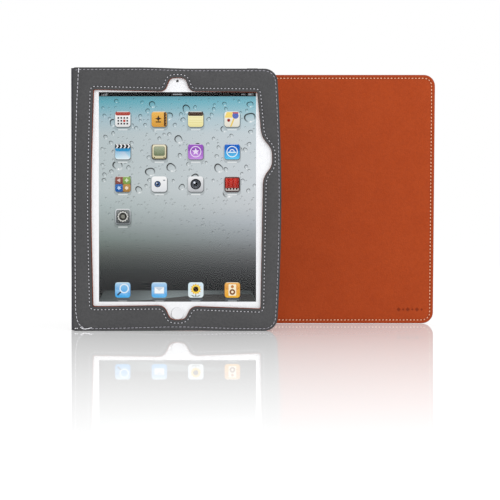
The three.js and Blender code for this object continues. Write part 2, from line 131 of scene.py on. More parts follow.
class Paint:
    """A node material. With a colour it has a Principled shader, and else it starts empty."""

    def __init__(self, name, colour=None, rough=0.5, **sockets):
        self.material = bpy.data.materials.new(name)
        self.material.use_nodes = True
        self.tree = self.material.node_tree
        if colour is None:
            self.tree.nodes.clear()
            return
        self.shader = self.tree.nodes["Principled BSDF"]
        self.coord = self.node("TexCoord", "Object")
        self.normal = {}
        self.shade(Base_Color=colour, Roughness=rough, **sockets)

    def fill(self, node, sockets):
        for key, value in sockets.items():
            socket = node.inputs[int(key[1:]) if key[1:].isdigit() else key.replace("_", " ")]
            if isinstance(value, bpy.types.NodeSocket):
                self.tree.links.new(value, socket)
            else:
                socket.default_value = value

    def shade(self, **sockets):
        self.fill(self.shader, sockets)

    def node(self, kind, out=0, props=None, **sockets):
        """A new node's output. Sockets are named, or numbered as in i0."""
        node = self.tree.nodes.new("ShaderNode" + kind)
        for key, value in (props or {}).items():
            setattr(node, key, value)
        self.fill(node, sockets)
        return node.outputs[out] if node.outputs else None

    def noise(self, scale, detail, stretch=None):
        where = self.coord
        if stretch:
            where = self.node("Mapping", Vector=self.coord, Scale=stretch)
        return self.node("TexNoise", Vector=where, Scale=scale, Detail=detail, Roughness=0.55)

    def cells(self, scale, feature):
        return self.node("TexVoronoi", 0, {"feature": feature}, Vector=self.coord, Scale=scale)

    def math(self, operation, a, b):
        return self.node("Math", 0, {"operation": operation}, i0=a, i1=b)

    def range(self, value, low, high, to_low=0.0, to_high=1.0):
        return self.node("MapRange", i0=value, i1=low, i2=high, i3=to_low, i4=to_high)

    def patches(self, scale, detail, *limits):
        return self.range(self.noise(scale, detail), *limits)

    def mix(self, factor, a, b):
        return self.node("Mix", 2, {"data_type": "RGBA"}, i0=factor, i6=a, i7=b)

    def stain(self, tone, mask, strength, colour):
        return self.mix(self.math("MULTIPLY", mask, strength), tone, colour)

    def attribute(self, name, out):
        return self.node("Attribute", out, {"attribute_name": name})

    def bump(self, height, distance):
        made = self.node("Bump", Height=height, Distance=distance, Strength=1.0, **self.normal)
        self.normal = {"Normal": made}
        self.shade(Normal=made)
        return self


def leather(name, colour, deep, pale, pebble, rough, shine, speckle=0.28):
    """Pebbled leather. A float on its vertices darkens it: it is 1 in the stitch grooves, where it
    is painted shade, and on turned edges, where it is wear.
    """
    colour, deep, pale = linear(colour), linear(deep), linear(pale)
    p = Paint(name, colour, rough, Specular_IOR_Level=shine)
    tone = p.mix(p.patches(38, 3, 0.35, 0.68), colour, pale)
    tone = p.stain(tone, p.patches(420, 3, 0.38, 0.66), speckle, deep)
    valleys = p.range(p.cells(pebble, "DISTANCE_TO_EDGE"), 0.0, 0.16, 1.0, 0.0)
    tone = p.stain(tone, valleys, speckle, deep)
    # darker by the vertex float: painted shade in the stitch grooves, wear on the edges, and the
    # pressed mark's darker tone
    tone = p.stain(tone, p.attribute("wear_and_groove_shade", "Fac"), 0.75, deep)
    p.shade(Base_Color=tone, Roughness=p.patches(160, 4, 0.3, 0.7, rough - 0.1, rough + 0.1))
    pebbles = p.range(p.cells(pebble, "SMOOTH_F1"), 0.0, 0.7, 1.0, 0.0)
    p.bump(p.noise(60, 2), 0.00012).bump(pebbles, 0.00008).bump(p.noise(2600, 3), 0.000035)
    return p.material


def suede(name, colour, deep, pale):
    colour, deep, pale = linear(colour), linear(deep), linear(pale)
    p = Paint(name, colour, 0.92, Specular_IOR_Level=0.15, Sheen_Weight=0.28)
    p.shade(Sheen_Roughness=0.45, Sheen_Tint=(0.75, 0.75, 0.8, 1))
    tone = p.mix(p.range(p.noise(24, 3, (1, 1, 0.35)), 0.35, 0.66), colour, pale)
    tone = p.stain(tone, p.patches(1500, 3, 0.4, 0.7), 0.6, deep)
    # the vertex float darkens the suede: painted shade in the stitch grooves, wear on the edges
    p.shade(Base_Color=p.stain(tone, p.attribute("wear_and_groove_shade", "Fac"), 0.6, deep))
    p.bump(p.noise(1900, 4), 0.00012).bump(p.noise(90, 2), 0.0003)
    return p.material


def uneven(p, colour, variation, grain, rough, spread, grit):
    """Colour and gloss that vary a little, at a grain and a grit of their own."""
    p.shade(Base_Color=p.mix(p.patches(grain, 3, 0.3, 0.7), colour, darker(colour, variation)))
    low = max(rough - spread, 0.02)
    p.shade(Roughness=p.patches(grit, 3, 0.3, 0.7, low, rough + spread))


def moulded(name, colour, rough, grain=900, variation=0.12, **sockets):
    """Moulded plastic, rubber or lacquer with a fine spark-eroded grain."""
    p = Paint(name, linear(colour), rough, **sockets)
    uneven(p, linear(colour), variation, 70, rough, 0.08, 240)
    p.bump(p.noise(grain, 3), 0.00002)
    return p.material


def metal(name, colour, rough, blast=3200, stretch=None):
    p = Paint(name, linear(colour), rough, Metallic=1.0)
    uneven(p, linear(colour), 0.05, 60, rough, 0.03, 300)
    p.bump(p.noise(blast, 2, stretch), 0.000012)
    return p.material


def thread(name, colour, deep):
    p = Paint(name, linear(colour), 0.6, Specular_IOR_Level=0.3, Sheen_Weight=0.2)
    p.shade(Base_Color=p.mix(p.patches(900, 2, 0.35, 0.7), linear(colour), linear(deep)))
    p.bump(p.noise(6000, 2), 0.00005)
    return p.material


def lit(name):
    """The display's own light. Colours are carried by the vertices, under a fine dot raster."""
    p = Paint(name, (0, 0, 0, 1), 0.5, Specular_IOR_Level=0.0, Emission_Strength=1.0)
    dots = p.patches(5200, 1, 0.3, 0.7, 0.0, 0.05)
    p.shade(Emission_Color=p.mix(dots, p.attribute("tint", "Color"), (0, 0, 0, 1)))
    return p.material


def clear(name):
    """Clear glass that mirrors more where it is seen aslant."""
    p = Paint(name)
    through = p.node("BsdfTransparent", i0=(0.997, 0.999, 0.998, 1))
    smudged = p.range(p.node("TexNoise", Scale=45), 0, 1, 0.015, 0.09)
    slant = p.math("POWER", p.node("LayerWeight", "Facing", i0=0.5), 5)
    mirror = p.range(slant, 0, 1, 0.01, 1)
    gloss = p.node("BsdfGlossy", Roughness=smudged)
    p.node("OutputMaterial", i0=p.node("MixShader", i0=mirror, i1=through, i2=gloss))
    return p.material


GREY = leather("grey_leather", (71, 71, 72), (48, 48, 50), (75, 75, 76), 780, 0.62, 0.2)
# A lighter, lilac copy of the grey leather for the spine: a painted highlight where the leather
# bends round the fold.
GREY_FOLD_HIGHLIGHT = leather("grey_leather_fold_highlight", (78, 76, 83), (52, 51, 56), (84, 82, 90), 780, 0.58, 0.25)
ORANGE = leather("orange_leather", (160, 63, 24), (106, 34, 10), (164, 66, 26), 760, 0.6, 0.1, 0.12)
PIPING = leather("piping_leather", (150, 78, 54), (92, 42, 26), (160, 88, 64), 1100, 0.6, 0.2)
SUEDE = suede("grey_suede", (104, 104, 109), (78, 78, 83), (118, 118, 122))
BOARD = moulded("pressed_board", (186, 170, 140), 0.9, 600, 0.2)
SILVER = metal("blasted_aluminium", (198, 200, 203), 0.36)
STEEL = metal("stamped_steel", (168, 170, 173), 0.3, 900, (1, 1, 12))
WHITE = moulded("white_border", (229, 229, 232), 0.3, 400, 0.02, Coat_Weight=0.3)
KEY_WHITE = moulded("key_white", (217, 218, 221), 0.35, 400, 0.02)
BLACK = moulded("dark_plastic", (30, 30, 33), 0.42)
LENS = moulded("lens_glass", (12, 12, 20), 0.08, 300, 0.3, Coat_Weight=1.0)
RUBBER = moulded("gasket_rubber", (138, 140, 143), 0.7)
PANEL = moulded("display_glass", (60, 66, 70), 0.25)
CELL = moulded("cell_wrap", (40, 42, 46), 0.45, 200, 0.25)
CIRCUIT = moulded("solder_mask", (28, 88, 56), 0.5, 1200, 0.3)
FLEX = moulded("polyimide_film", (176, 106, 42), 0.35, 500, 0.2)
PALE_THREAD = thread("pale_thread", (208, 207, 213), (168, 167, 175))
GREY_THREAD = thread("grey_thread", (176, 174, 182), (128, 126, 136))
CREAM_THREAD = thread("cream_thread", (250, 202, 168), (214, 142, 104))
WHITE_THREAD = thread("white_thread", (246, 246, 250), (206, 206, 214))
LIT = lit("lit_display")
CLEAR = clear("clear_glass")

# ---------------------------------------------------------------- outlines


def turn_corner(x, z, radius, start, steps):
    angles = np.radians(np.linspace(start, start + 90, steps + 1))
    return np.stack([x + radius * np.cos(angles), z + radius * np.sin(angles)], 1)


def bezier(a, corner, b, t):
    return (1 - t) ** 2 * a + 2 * t * (1 - t) * corner + t**2 * b


def rectangle(left, right, low, high, radii, bow=0.0, steps=10):
    """Anticlockwise from the lower left, seen with x to the right and z up. A bow bulges its
    right side."""
    bl, br, tr, tl = radii
    corners = [(left + bl, low + bl, bl, 180), (right - br, low + br, br, 270)]
    corners += [(right - tr, high - tr, tr, 0), (left + tl, high - tl, tl, 90)]
    parts = [turn_corner(*corner, steps) for corner in corners]
    if bow:
        a, b = np.array([[right, low + br], [right, high - tr]])
        corner = np.array([right + 2 * bow, (low + high) / 2])
        parts.insert(2, bezier(a, corner, b, np.linspace(0, 1, 60)[1:-1, None]))
    return np.concatenate(parts)


def circle(x, z, radius, sides=64):
    turns = np.linspace(0, 2 * math.pi, sides, endpoint=False)
    return np.stack([x + radius * np.cos(turns), z + radius * np.sin(turns)], 1)


def soft(corners):
    """A closed path round the corners x, z, rounding."""
    at = np.array([c[:2] for c in corners], float)
    bends = []
    for i, corner in enumerate(at):
        ends = []
        for other in (at[i - 1], at[(i + 1) % len(at)]):
            way = other - corner
            ends.append(corner + way / np.hypot(*way) * corners[i][2])
        bends.append(bezier(ends[0], corner, ends[1], np.linspace(0, 1, 11)[:, None]))
    return np.concatenate(bends)


def run_of(path):
    """How far along the path each of its points is."""
    return np.concatenate([[0], np.cumsum(np.hypot(*np.diff(path, axis=0).T))])


def even(path, pitch, closed=True):
    """The same path with points about a pitch apart."""
    path = np.asarray(path, float)
    if closed:
        path = np.concatenate([path, path[:1]])
    step = np.hypot(*np.diff(path, axis=0).T)
    path = path[np.concatenate([[True], step > 1e-9])]
    run = run_of(path)
    at = np.linspace(0, run[-1], max(int(round(run[-1] / pitch)), 1) + 1)
    spaced = np.stack([np.interp(at, run, column) for column in path.T], 1)
    return spaced[:-1] if closed else spaced


def directions(path, closed=True):
    around = np.roll(path, -1, 0) - np.roll(path, 1, 0)
    ahead = around if closed else np.gradient(path, axis=0)
    return ahead / np.maximum(np.hypot(*ahead.T), 1e-9)[:, None]


BATCH = 1500  # points worked on at a time


def distance(points, path, closed=True):
    """How far each point is from the path."""
    a = path if closed else path[:-1]
    b = np.roll(path, -1, 0) if closed else path[1:]
    ab = b - a
    length = np.maximum((ab**2).sum(1), 1e-12)
    far = np.empty(len(points))
    for i in range(0, len(points), BATCH):
        rel = points[i : i + BATCH, None, :] - a
        t = np.clip((rel * ab).sum(2) / length, 0, 1)
        far[i : i + BATCH] = np.sqrt(((rel - t[..., None] * ab) ** 2).sum(2)).min(1)
    return far


def nearest(points, paths):
    """How far each point is from the nearest of the paths, given with whether they are closed."""
    far = [np.full(len(points), 99.0)]
    return np.minimum.reduce(far + [distance(points, path, closed) for path, closed in paths])


def inside(points, path):
    a, b = path, np.roll(path, -1, 0)
    rise = np.where(np.abs(b[:, 1] - a[:, 1]) < 1e-12, 1e-12, b[:, 1] - a[:, 1])
    within = np.empty(len(points), bool)
    for i in range(0, len(points), BATCH):
        x, z = points[i : i + BATCH, 0, None], points[i : i + BATCH, 1, None]
        level = (a[:, 1] > z) != (b[:, 1] > z)
        left_of = x < a[:, 0] + (z - a[:, 1]) / rise * (b[:, 0] - a[:, 0])
        within[i : i + BATCH] = (level & left_of).sum(1) % 2
    return within


def shifted(path, by, closed=True):
    """The path moved to its left, without the points that come too close to it."""
    ahead = directions(path, closed)
    moved = path + np.stack([-ahead[:, 1], ahead[:, 0]], 1) * by
    return moved[distance(moved, path, closed) > abs(by) * 0.985 - 1e-6]


def ease(t):
    t = np.clip(t, 0, 1)
    return t * t * (3 - 2 * t)


def bell(x):
    return np.exp(-(x**2))


def lifted(path, height, middle, width):
    """The path with its foot lifted round a middle."""
    rise = height * bell((path[:, 0] - middle) / width)
    path[:, 1] += rise * (path[:, 1] < 20)
    return path


def holder_outline(inset=0.0):
    """The pocket's outline. Its top sags a little to the right, and its foot lifts a little."""
    left, right, round_ = HOLDER_LEFT + inset, HOLDER_RIGHT - inset, HOLDER_ROUND - inset
    path = rectangle(left, right, inset, HEIGHT - inset, (2, round_, round_, 2), BOW)
    path = even(path, 1.5)
    path[:, 1] -= 1.2 * ease((path[:, 0] + 34) / 50) * ease((path[:, 1] - 190) / 50)
    return lifted(path, 0.3, 14, 26)


WINDOW = [
    (-77.6, 22.7, 1.5),
    # the home button's lobe
    (MIDDLE - 12.8, 23.6, 6),
    (MIDDLE - 7, 10.2, 5),
    (MIDDLE + 7, 10.2, 5),
    (MIDDLE + 12.8, 22.9, 6),
    (80.3, 20.5, 1.5),
    # the thumb notch
    (82.8, 144.5, 7),
    (91.2, 154.5, 5),
    (91.2, 171, 5.5),
    (81.3, 182.5, 6.5),
    (77.3, 224.4, 1.5),
    # the camera's lobe
    (MIDDLE + 12, 225.2, 5),
    (MIDDLE + 7.2, 237.9, 4.5),
    (MIDDLE - 7.2, 237.9, 4.5),
    (MIDDLE - 12, 225.1, 5),
    (-76.8, 226.9, 1.5),
    (-79.9, 125, 48),
]

# ---------------------------------------------------------------- making meshes


def soften(data, sharp=None):
    """Smooth shading, except at edges that turn by more than sharp degrees."""
    for polygon in data.polygons:
        polygon.use_smooth = True
    if sharp:
        data.set_sharp_from_angle(angle=math.radians(sharp))


def place(name, data, material, body, space=None):
    """A mesh made in mm becomes an object, which rides on a body if it is given one."""
    data.materials.append(material)
    obj = bpy.data.objects.new(name, data)
    bpy.context.scene.collection.objects.link(obj)
    data.transform(space or HOME)
    if body:
        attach(obj, body)
    return obj


def solid(name, verts, faces, material, body, space=None, sharp=None, wear_and_groove_shade=None, mixed=False):
    """An object from verts in mm. The leather's darkening, painted shade in grooves and wear on
    edges, is one number for each vertex, and mixed says that the faces still have to be turned
    outwards."""
    data = bpy.data.meshes.new(name)
    data.from_pydata([tuple(map(float, v)) for v in verts], [], faces)
    if wear_and_groove_shade is not None:
        attribute = data.attributes.new("wear_and_groove_shade", "FLOAT", "POINT")
        attribute.data.foreach_set("value", np.asarray(wear_and_groove_shade, np.float32))
    data.validate()
    soften(data, sharp)
    if mixed:
        bm = bmesh.new()
        bm.from_mesh(data)
        bmesh.ops.recalc_face_normals(bm, faces=bm.faces)
        bm.to_mesh(data)
        bm.free()
    return place(name, data, material, body, space)


def stand_in(obj, node):
    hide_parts(node)


def band_faces(count, ring, first=0, flip=False):
    """Quads between count rings of points."""
    faces = []
    for low in range(first, first + (count - 1) * ring, ring):
        for k in range(ring):
            j = (k + 1) % ring
            rest = (low + j, low + ring + j, low + ring + k)
            faces.append((low + k, *(rest[::-1] if flip else rest)))
    return faces


def tube_faces(count, ring, first=0, flip=False):
    """Faces round count rings of points and at both ends."""
    last = first + (count - 1) * ring
    ends = tuple(range(first, first + ring)), tuple(range(last, last + ring))
    ends = [ends[0], ends[1][::-1]] if flip else [ends[0][::-1], ends[1]]
    return band_faces(count, ring, first, flip) + ends


def roll(d, radius):
    """How far a surface has fallen at a distance d from its rounded edge."""
    t = np.clip(1 - d / radius, 0, 1)
    return radius * (1 - np.sqrt(1 - t * t))


def surface(level, side, edge, plump=0.0, sewn=0.0, wave=None):
    """The y of a sheet's face at measured points. It is rounded at the edges, plump between the
    edges and seams, and pressed in at the seams. side is -1 on the front and 1 on the back, and
    wave is the height, size and seed of its unevenness, and how far from the edges that fades."""

    def at_points(at):
        up = plump * ease(np.minimum(at["edge"], at["seam"]) / 4.0) - roll(at["edge"], edge)
        y = level + side * (up - sewn * bell(at["seam"] / 0.55))
        if wave:
            height, size, seed, fade = wave
            spots = [Vector((x / size, z / size, seed)) for x, z in at["at"]]
            fading = ease(at["edge"] / fade) if fade else 1
            y += height * np.array([noise.noise(spot) for spot in spots]) * fading
        return y

    return at_points


def hollowed(hollow, level, around):
    """A face that steps to another level in a hollow."""
    return lambda at: np.where(inside(at["at"], hollow) & (at["hole"] > 0.5), level, around(at))


def both_sides(path):
    """Points along a step in a face."""
    return [path, shifted(even(path, 2), -0.22)]


def in_sheet(points, edges):
    keep = inside(points, edges[0])
    for loop in edges[1:]:
        keep &= ~inside(points, loop)
    return keep


def sheet_points(edges, seams, extra=(), fill=5.0, rings=(0.12, 0.32, 0.6, 1.1, 2.0)):
    """Points in a sheet: rows along its edges and seams, and a loose filling."""
    wanted = []
    for k, loop in enumerate(edges):
        for d in rings:
            ring = shifted(loop, d if k == 0 else -d)
            wanted.append(ring[inside(ring, edges[0])])
    for path, closed in seams:
        line = even(path, 1.5, closed)
        wanted.append(line)
        wanted += [shifted(line, side * d, closed) for d in (0.4, 0.85, 1.6) for side in (1, -1)]
    wanted += [np.asarray(e, float) for e in extra]
    loops = [(loop, True) for loop in edges]
    low, high = edges[0].min(0), edges[0].max(0)
    for i, z in enumerate(np.arange(low[1] + fill, high[1] - fill / 2, fill * 0.87)):
        xs = np.arange(low[0] + fill * (0.5 + 0.5 * (i % 2)), high[0], fill)
        grid = np.stack([xs, np.full(len(xs), z)], 1)
        wanted.append(grid[nearest(grid, loops + seams) > 3.0])
    cloud = np.concatenate(wanted)
    cloud = cloud[in_sheet(cloud, edges) & (nearest(cloud, loops) > 0.08)]
    apart = {}
    for x, z in cloud:
        apart.setdefault((round(x / 0.16), round(z / 0.16)), (x, z))
    return list(apart.values())


def triangles(edges, points):
    """The points in use, and triangles that all turn the same way."""
    links, start = [], 0
    for loop in edges:
        links += [(start + i, start + (i + 1) % len(loop)) for i in range(len(loop))]
        start += len(loop)
    flat = [Vector(p) for p in [*np.concatenate(edges), *points]]
    where, _, tris, *_ = delaunay_2d_cdt(flat, links, [], 0, 1e-5, False)
    pts = np.array([tuple(v) for v in where])
    tris = np.array([t for t in tris if len(t) == 3])
    tris = tris[in_sheet((pts[tris[:, 0]] + pts[tris[:, 1]] + pts[tris[:, 2]]) / 3, edges)]
    a, b, c = pts[tris[:, 0]], pts[tris[:, 1]], pts[tris[:, 2]]
    area = (b[:, 0] - a[:, 0]) * (c[:, 1] - a[:, 1]) - (b[:, 1] - a[:, 1]) * (c[:, 0] - a[:, 0])
    tris[area < 0] = tris[area < 0][:, ::-1]
    used = np.unique(tris)
    renumber = np.full(len(pts), -1)
    renumber[used] = np.arange(len(used))
    return pts[used], renumber[tris]


SIDES = 8  # round a thread
LEANING, UNSTEADY = 4, 2.5  # degrees that a stitch leans along its row, and varies by


def two_ply(thick, twist, deep):
    """The section of a two-ply thread."""
    turns = np.linspace(0, 2 * math.pi, SIDES, endpoint=False)
    return circle(0, 0, thick, SIDES) * (1 + deep * np.cos(2 * (turns - twist)))[:, None]


class Sheet:
    """A flat sheet on a body, with an outline, holes and sewn seams. The seams are given with
    whether they are closed. front(at) and back(at) are the y of its faces, at measured points."""

    def __init__(self, outline, holes, seams, front, back, body="holder", space=None):
        self.edges = [even(outline, 1.6)] + [even(hole, 0.9) for hole in holes]
        self.seams, self.front, self.back = seams, front, back
        self.where = (body, space)

    def measure(self, points):
        """The points, and how far each is from the holes, the seams and any edge."""
        at = {"at": points, "hole": nearest(points, [(loop, True) for loop in self.edges[1:]])}
        at["seam"] = nearest(points, self.seams)
        at["edge"] = np.minimum(distance(points, self.edges[0]), at["hole"])
        return at

    def build(self, name, node, slot, material, **filling):
        points = sheet_points(self.edges, self.seams, **filling)
        pts, tris = triangles(self.edges, points)
        at = self.measure(pts)
        faces = [tuple(map(int, t)) for t in tris]
        sides = dict.fromkeys(e for i, j, k in faces for e in ((i, j), (j, k), (k, i)))
        n = len(pts)
        faces += [(k + n, j + n, i + n) for i, j, k in faces]
        faces += [(j, i, i + n, j + n) for i, j in sides if (j, i) not in sides]
        levels = self.front(at), self.back(at)
        verts = np.concatenate([np.stack([pts[:, 0], y, pts[:, 1]], 1) for y in levels])
        # Painted shade in the stitch grooves, wear along the edges, and the pressed mark's darker
        # tone.
        wear_and_groove_shade = np.exp(-at["seam"] / 0.55) + 0.8 * np.exp(-at["edge"] / 0.5)
        wear_and_groove_shade = np.tile(np.maximum(np.clip(wear_and_groove_shade, 0, 1), at.get("mark", 0)), 2)
        stand_in(solid(name, verts, faces, material, *self.where, wear_and_groove_shade=wear_and_groove_shade), node)

    def stitch(self, name, row, shape, material, out=-1, rows=7):
        """A row of two-ply stitches. row is a path and whether it is closed, shape is their
        pitch, length and radius, and out is -1 on the front and 1 on the back."""
        path, closed = row
        pitch, length, radius = shape
        at = even(path, pitch, closed)
        if not closed:
            at = (at[:-1] + at[1:]) / 2
        level = (self.front if out < 0 else self.back)(self.measure(at))
        verts, faces = [], []
        dice = random.Random(len(at))
        for spot, along, y in zip(at, directions(at, closed), level):
            tilt = math.radians(LEANING + dice.uniform(-UNSTEADY, UNSTEADY))
            ux = along[0] * math.cos(tilt) - along[1] * math.sin(tilt)
            uz = along[0] * math.sin(tilt) + along[1] * math.cos(tilt)
            half = length * dice.uniform(0.94, 1.04) / 2
            faces += tube_faces(rows, SIDES, len(verts), flip=True)
            for t in np.linspace(-1, 1, rows):
                x, z = spot[0] + ux * t * half, spot[1] + uz * t * half
                middle = y + out * radius * (0.55 - t * t)
                thick = radius * math.sqrt(max(1 - (0.96 * t) ** 2, 0.02))
                for side, up in two_ply(thick, 2.6 * t, 0.13):
                    verts.append((x - uz * side, middle + up, z + ux * side))
        solid(name, verts, faces, material, *self.where)


def loose_end(name, points, radius=0.36):
    """A two-ply thread along points in 3D, tapering at both ends."""
    pts = np.asarray(points, float)
    run = np.concatenate([[0], np.cumsum(np.linalg.norm(np.diff(pts, axis=0), axis=1))])
    fine = np.linspace(0, run[-1], max(int(run[-1] / 0.5), 6))
    smooth = np.stack([np.interp(fine, run, column) for column in pts.T], 1)
    for _ in range(6):
        smooth[1:-1] = (smooth[:-2] + 2 * smooth[1:-1] + smooth[2:]) / 4
    verts = []
    for i, (p, d) in enumerate(zip(smooth, np.gradient(smooth, axis=0))):
        d = d / np.linalg.norm(d)
        u = np.cross(d, (0, 1, 0.2))
        u /= np.linalg.norm(u)
        thick = radius * min(1, 0.45 + 0.3 * min(i, len(smooth) - 1 - i))
        verts += [p + u * a + np.cross(d, u) * b for a, b in two_ply(thick, i * 0.55, 0.14)]
    solid(name, verts, tube_faces(len(smooth), SIDES), WHITE_THREAD, "holder")


def ribbon(name, line, half, low, high, material, body=None, edge=0.4):
    """An upright strip of leather that follows line, in x and y, from z = low to z = high."""
    line = np.asarray(line, float)
    ahead = directions(line, False)
    normal = np.stack([ahead[:, 1], -ahead[:, 0]], 1)
    run = run_of(line)
    end = np.minimum(run, run[-1] - run)
    thin = np.where(end < 0.3, 0.55 + 0.45 * np.sqrt(np.clip(end / 0.3, 0, 1)), 1.0)
    near_edge = [0, 0.15, 0.4, 0.9, 2, 3.2]
    heights = [low + r for r in near_edge] + list(np.linspace(low + 8, high - 8, 24))
    heights += [high - r for r in near_edge[::-1]]
    verts, wear_and_groove_shade = [], []
    for z in heights:
        off = min(z - low, high - z)
        reach = (np.broadcast_to(half, len(line)) - float(roll(np.array(off), edge))) * thin
        for sign in (1, -1):
            for p, n, r, e in list(zip(line, normal, reach, end))[::sign]:
                verts.append((*(p + sign * n * r), z))
                wear_and_groove_shade.append(max(math.exp(-off / 0.6), 0.8 * math.exp(-e / 0.4)))
    ring = 2 * len(line)
    faces = band_faces(len(heights), ring)
    for base, flip in ((0, 1), ((len(heights) - 1) * ring, -1)):
        for k in range(len(line) - 1):
            quad = (base + k, base + ring - 1 - k, base + ring - 2 - k, base + k + 1)
            faces.append(quad[::flip])
    return solid(name, verts, faces, material, body, wear_and_groove_shade=wear_and_groove_shade, mixed=True)


def lathe(name, profile, x, z, material, body, turns=64):
    """profile is (radius, y) from the front's middle outwards and round to the back's middle."""
    verts = [(a, y, b) for radius, y in profile for a, b in circle(x, z, radius, turns)]
    return solid(name, verts, tube_faces(len(profile), turns, 0, True), material, body, sharp=50)


def pill(name, x, y, z, material, body, radius, steps=3):
    """A block with rounded edges."""
    bm = bmesh.new()
    bmesh.ops.create_cube(bm, size=1)
    size = Vector([high - low for low, high in (x, y, z)])
    bmesh.ops.scale(bm, vec=size, verts=bm.verts)
    edges = bm.edges[:]
    bmesh.ops.bevel(bm, geom=edges, offset=radius, segments=steps, profile=0.6, affect="EDGES")
    middle = Vector([sum(span) / 2 for span in (x, y, z)])
    bmesh.ops.translate(bm, vec=middle, verts=bm.verts)
    data = bpy.data.meshes.new(name)
    bm.to_mesh(data)
    bm.free()
    soften(data, 50)
    return place(name, data, material, body)


# ---------------------------------------------------------------- the holder

outline = holder_outline()
window = soft(WINDOW)
ring_seam = even(shifted(even(outline, 1.0), 2.0), 1.0)


def nearest_point(path, x, z):
    return int(np.argmin(np.hypot(path[:, 0] - x, path[:, 1] - z)))


# The outer row runs along the bottom, the right and the top. The left row is a seam of its own.
start = nearest_point(ring_seam, -83.5, 2.0)
stop = nearest_point(ring_seam, -94.3, HEIGHT - 2.3)
outer_row = np.roll(ring_seam, -start, 0)[: (stop - start) % len(ring_seam) + 1]
outer_row = even(lifted(outer_row, 1.5, -4, 46), 1.0, False)
LEFT_ROW = [(-90.6, 245.6), (-91.0, 238), (-92.2, 216), (-93.4, 180), (-94.0, 140), (-94.1, 80)]
LEFT_ROW += [(-93.9, 40), (-93.6, 20), (-92.9, 13), (-91.2, 7.4), (-88.6, 4.2), (-85.6, 2.6)]
left_row = even(LEFT_ROW, 1.0, False)
corner_row = even([(-94.6, 2.3), (-91.2, 2.4)], 1.0, False)
window_row = even(shifted(even(window, 0.8), -2.9), 1.0)

face_front = surface(0.42, -1, 0.55, 0.55, 0.26, (-0.12, 22, 3.0, 4))
FACE_ROWS = {
    "stitches_face_rim": ((outer_row, False), (3.75, 3.2, 0.3), GREY_THREAD),
    "stitches_face_left": ((left_row, False), (3.75, 3.2, 0.33), PALE_THREAD),
    "stitches_window": ((window_row, True), (3.4, 1.8, 0.37), PALE_THREAD),
    "stitches_corner": ((corner_row, False), (1.7, 1.5, 0.42), WHITE_THREAD),
}
seams = [row for row, _, _ in FACE_ROWS.values()]
face = Sheet(outline, [window], seams, face_front, surface(FACE_BACK, 1, 0.45))
face.build("face_panel", "face_frame", "grey_leather", GREY)
for name, row in FACE_ROWS.items():
    face.stitch(name, *row)
low_tail = [(-89.4, 0.3, 3.6), (-88.2, -0.06, 2.7), (-85.4, -0.1, 1.6), (-81.5, -0.08, 2.2)]
low_tail.append((-78.2, 0.3, 3.1))
high_tail = [(-90.5, 0.3, 242.6), (-90.5, -0.06, 244.2), (-90.4, -0.06, 246.0), (-90.3, 0.35, 246.9)]
loose_end("thread_tail_low", low_tail)
loose_end("thread_tail_high", high_tail)

# The orange lining shows as a bead round the window, more of it on the left and below.
bead = shifted(even(window, 0.8), 0.5) + (0.3, 0.12)


def bead_front(at):
    return 0.62 + roll(at["hole"], 0.5) + 0.53 * ease((at["hole"] - 0.35) / 0.35)


lining = Sheet(holder_outline(0.9), [bead], [], bead_front, surface(1.65, 1, 0.3))
rings = (0.1, 0.25, 0.45, 0.7, 1.0)
slot = "orange_leather"
lining.build("face_lining_sheet", "face_lining", slot, PIPING, fill=9, rings=rings)


def band(name, path, inset=0.5, thick=0.55):
    """A soft strip on edge that follows an outline and bulges a little outwards."""
    ahead = directions(path, False)
    inward = np.stack([-ahead[:, 1], ahead[:, 0]], 1)
    t = np.linspace(0, 1, 11)
    ys = POCKET[0] + (POCKET[1] - POCKET[0]) * t
    middle = inset - 0.3 * np.sin(np.pi * t) + thick / 2
    half = thick / 2 * np.minimum(1, 0.35 + np.minimum(t, 1 - t) * 8)
    section = list(zip(middle - half, ys)) + list(zip(middle + half, ys))[::-1]
    spots = [(x, z, n) for (x, z), n in zip(path, inward)]
    verts = [(x + n[0] * deep, y, z + n[1] * deep) for x, z, n in spots for deep, y in section]
    return solid(name, verts, tube_faces(len(path), len(section)), GREY, "holder")


edge_path = even(outline, 1.2)
low_right = edge_path[(edge_path[:, 0] > 84.5) & (edge_path[:, 1] < 142)]
high_right = edge_path[(edge_path[:, 0] > 92) & (edge_path[:, 1] > 222)]
stand_in(band("pocket_band_low", low_right), "wall_right_lower")
stand_in(band("pocket_band_high", high_right), "wall_right_upper")
depths = np.linspace(*POCKET, 25)
swollen = 2.3 + 0.28 * np.sin(np.pi * (depths - POCKET[0]) / (POCKET[1] - POCKET[0]))
line = [(-93.45, y) for y in depths]
left_wall = ribbon("pocket_wall_left", line, swollen, 0.15, HEIGHT - 1, GREY, "holder", edge=1.1)
stand_in(left_wall, "wall_left")
PADS = {"wall_bottom_left": (-90.4, MIDDLE - 17), "wall_bottom_right": (MIDDLE + 17, 84.2)}
for node, span in PADS.items():
    name = node.replace("wall", "pocket_pad")
    stand_in(pill(name, span, (1.85, 10.85), (0.15, 5.05), GREY, "holder", 1.1), node)

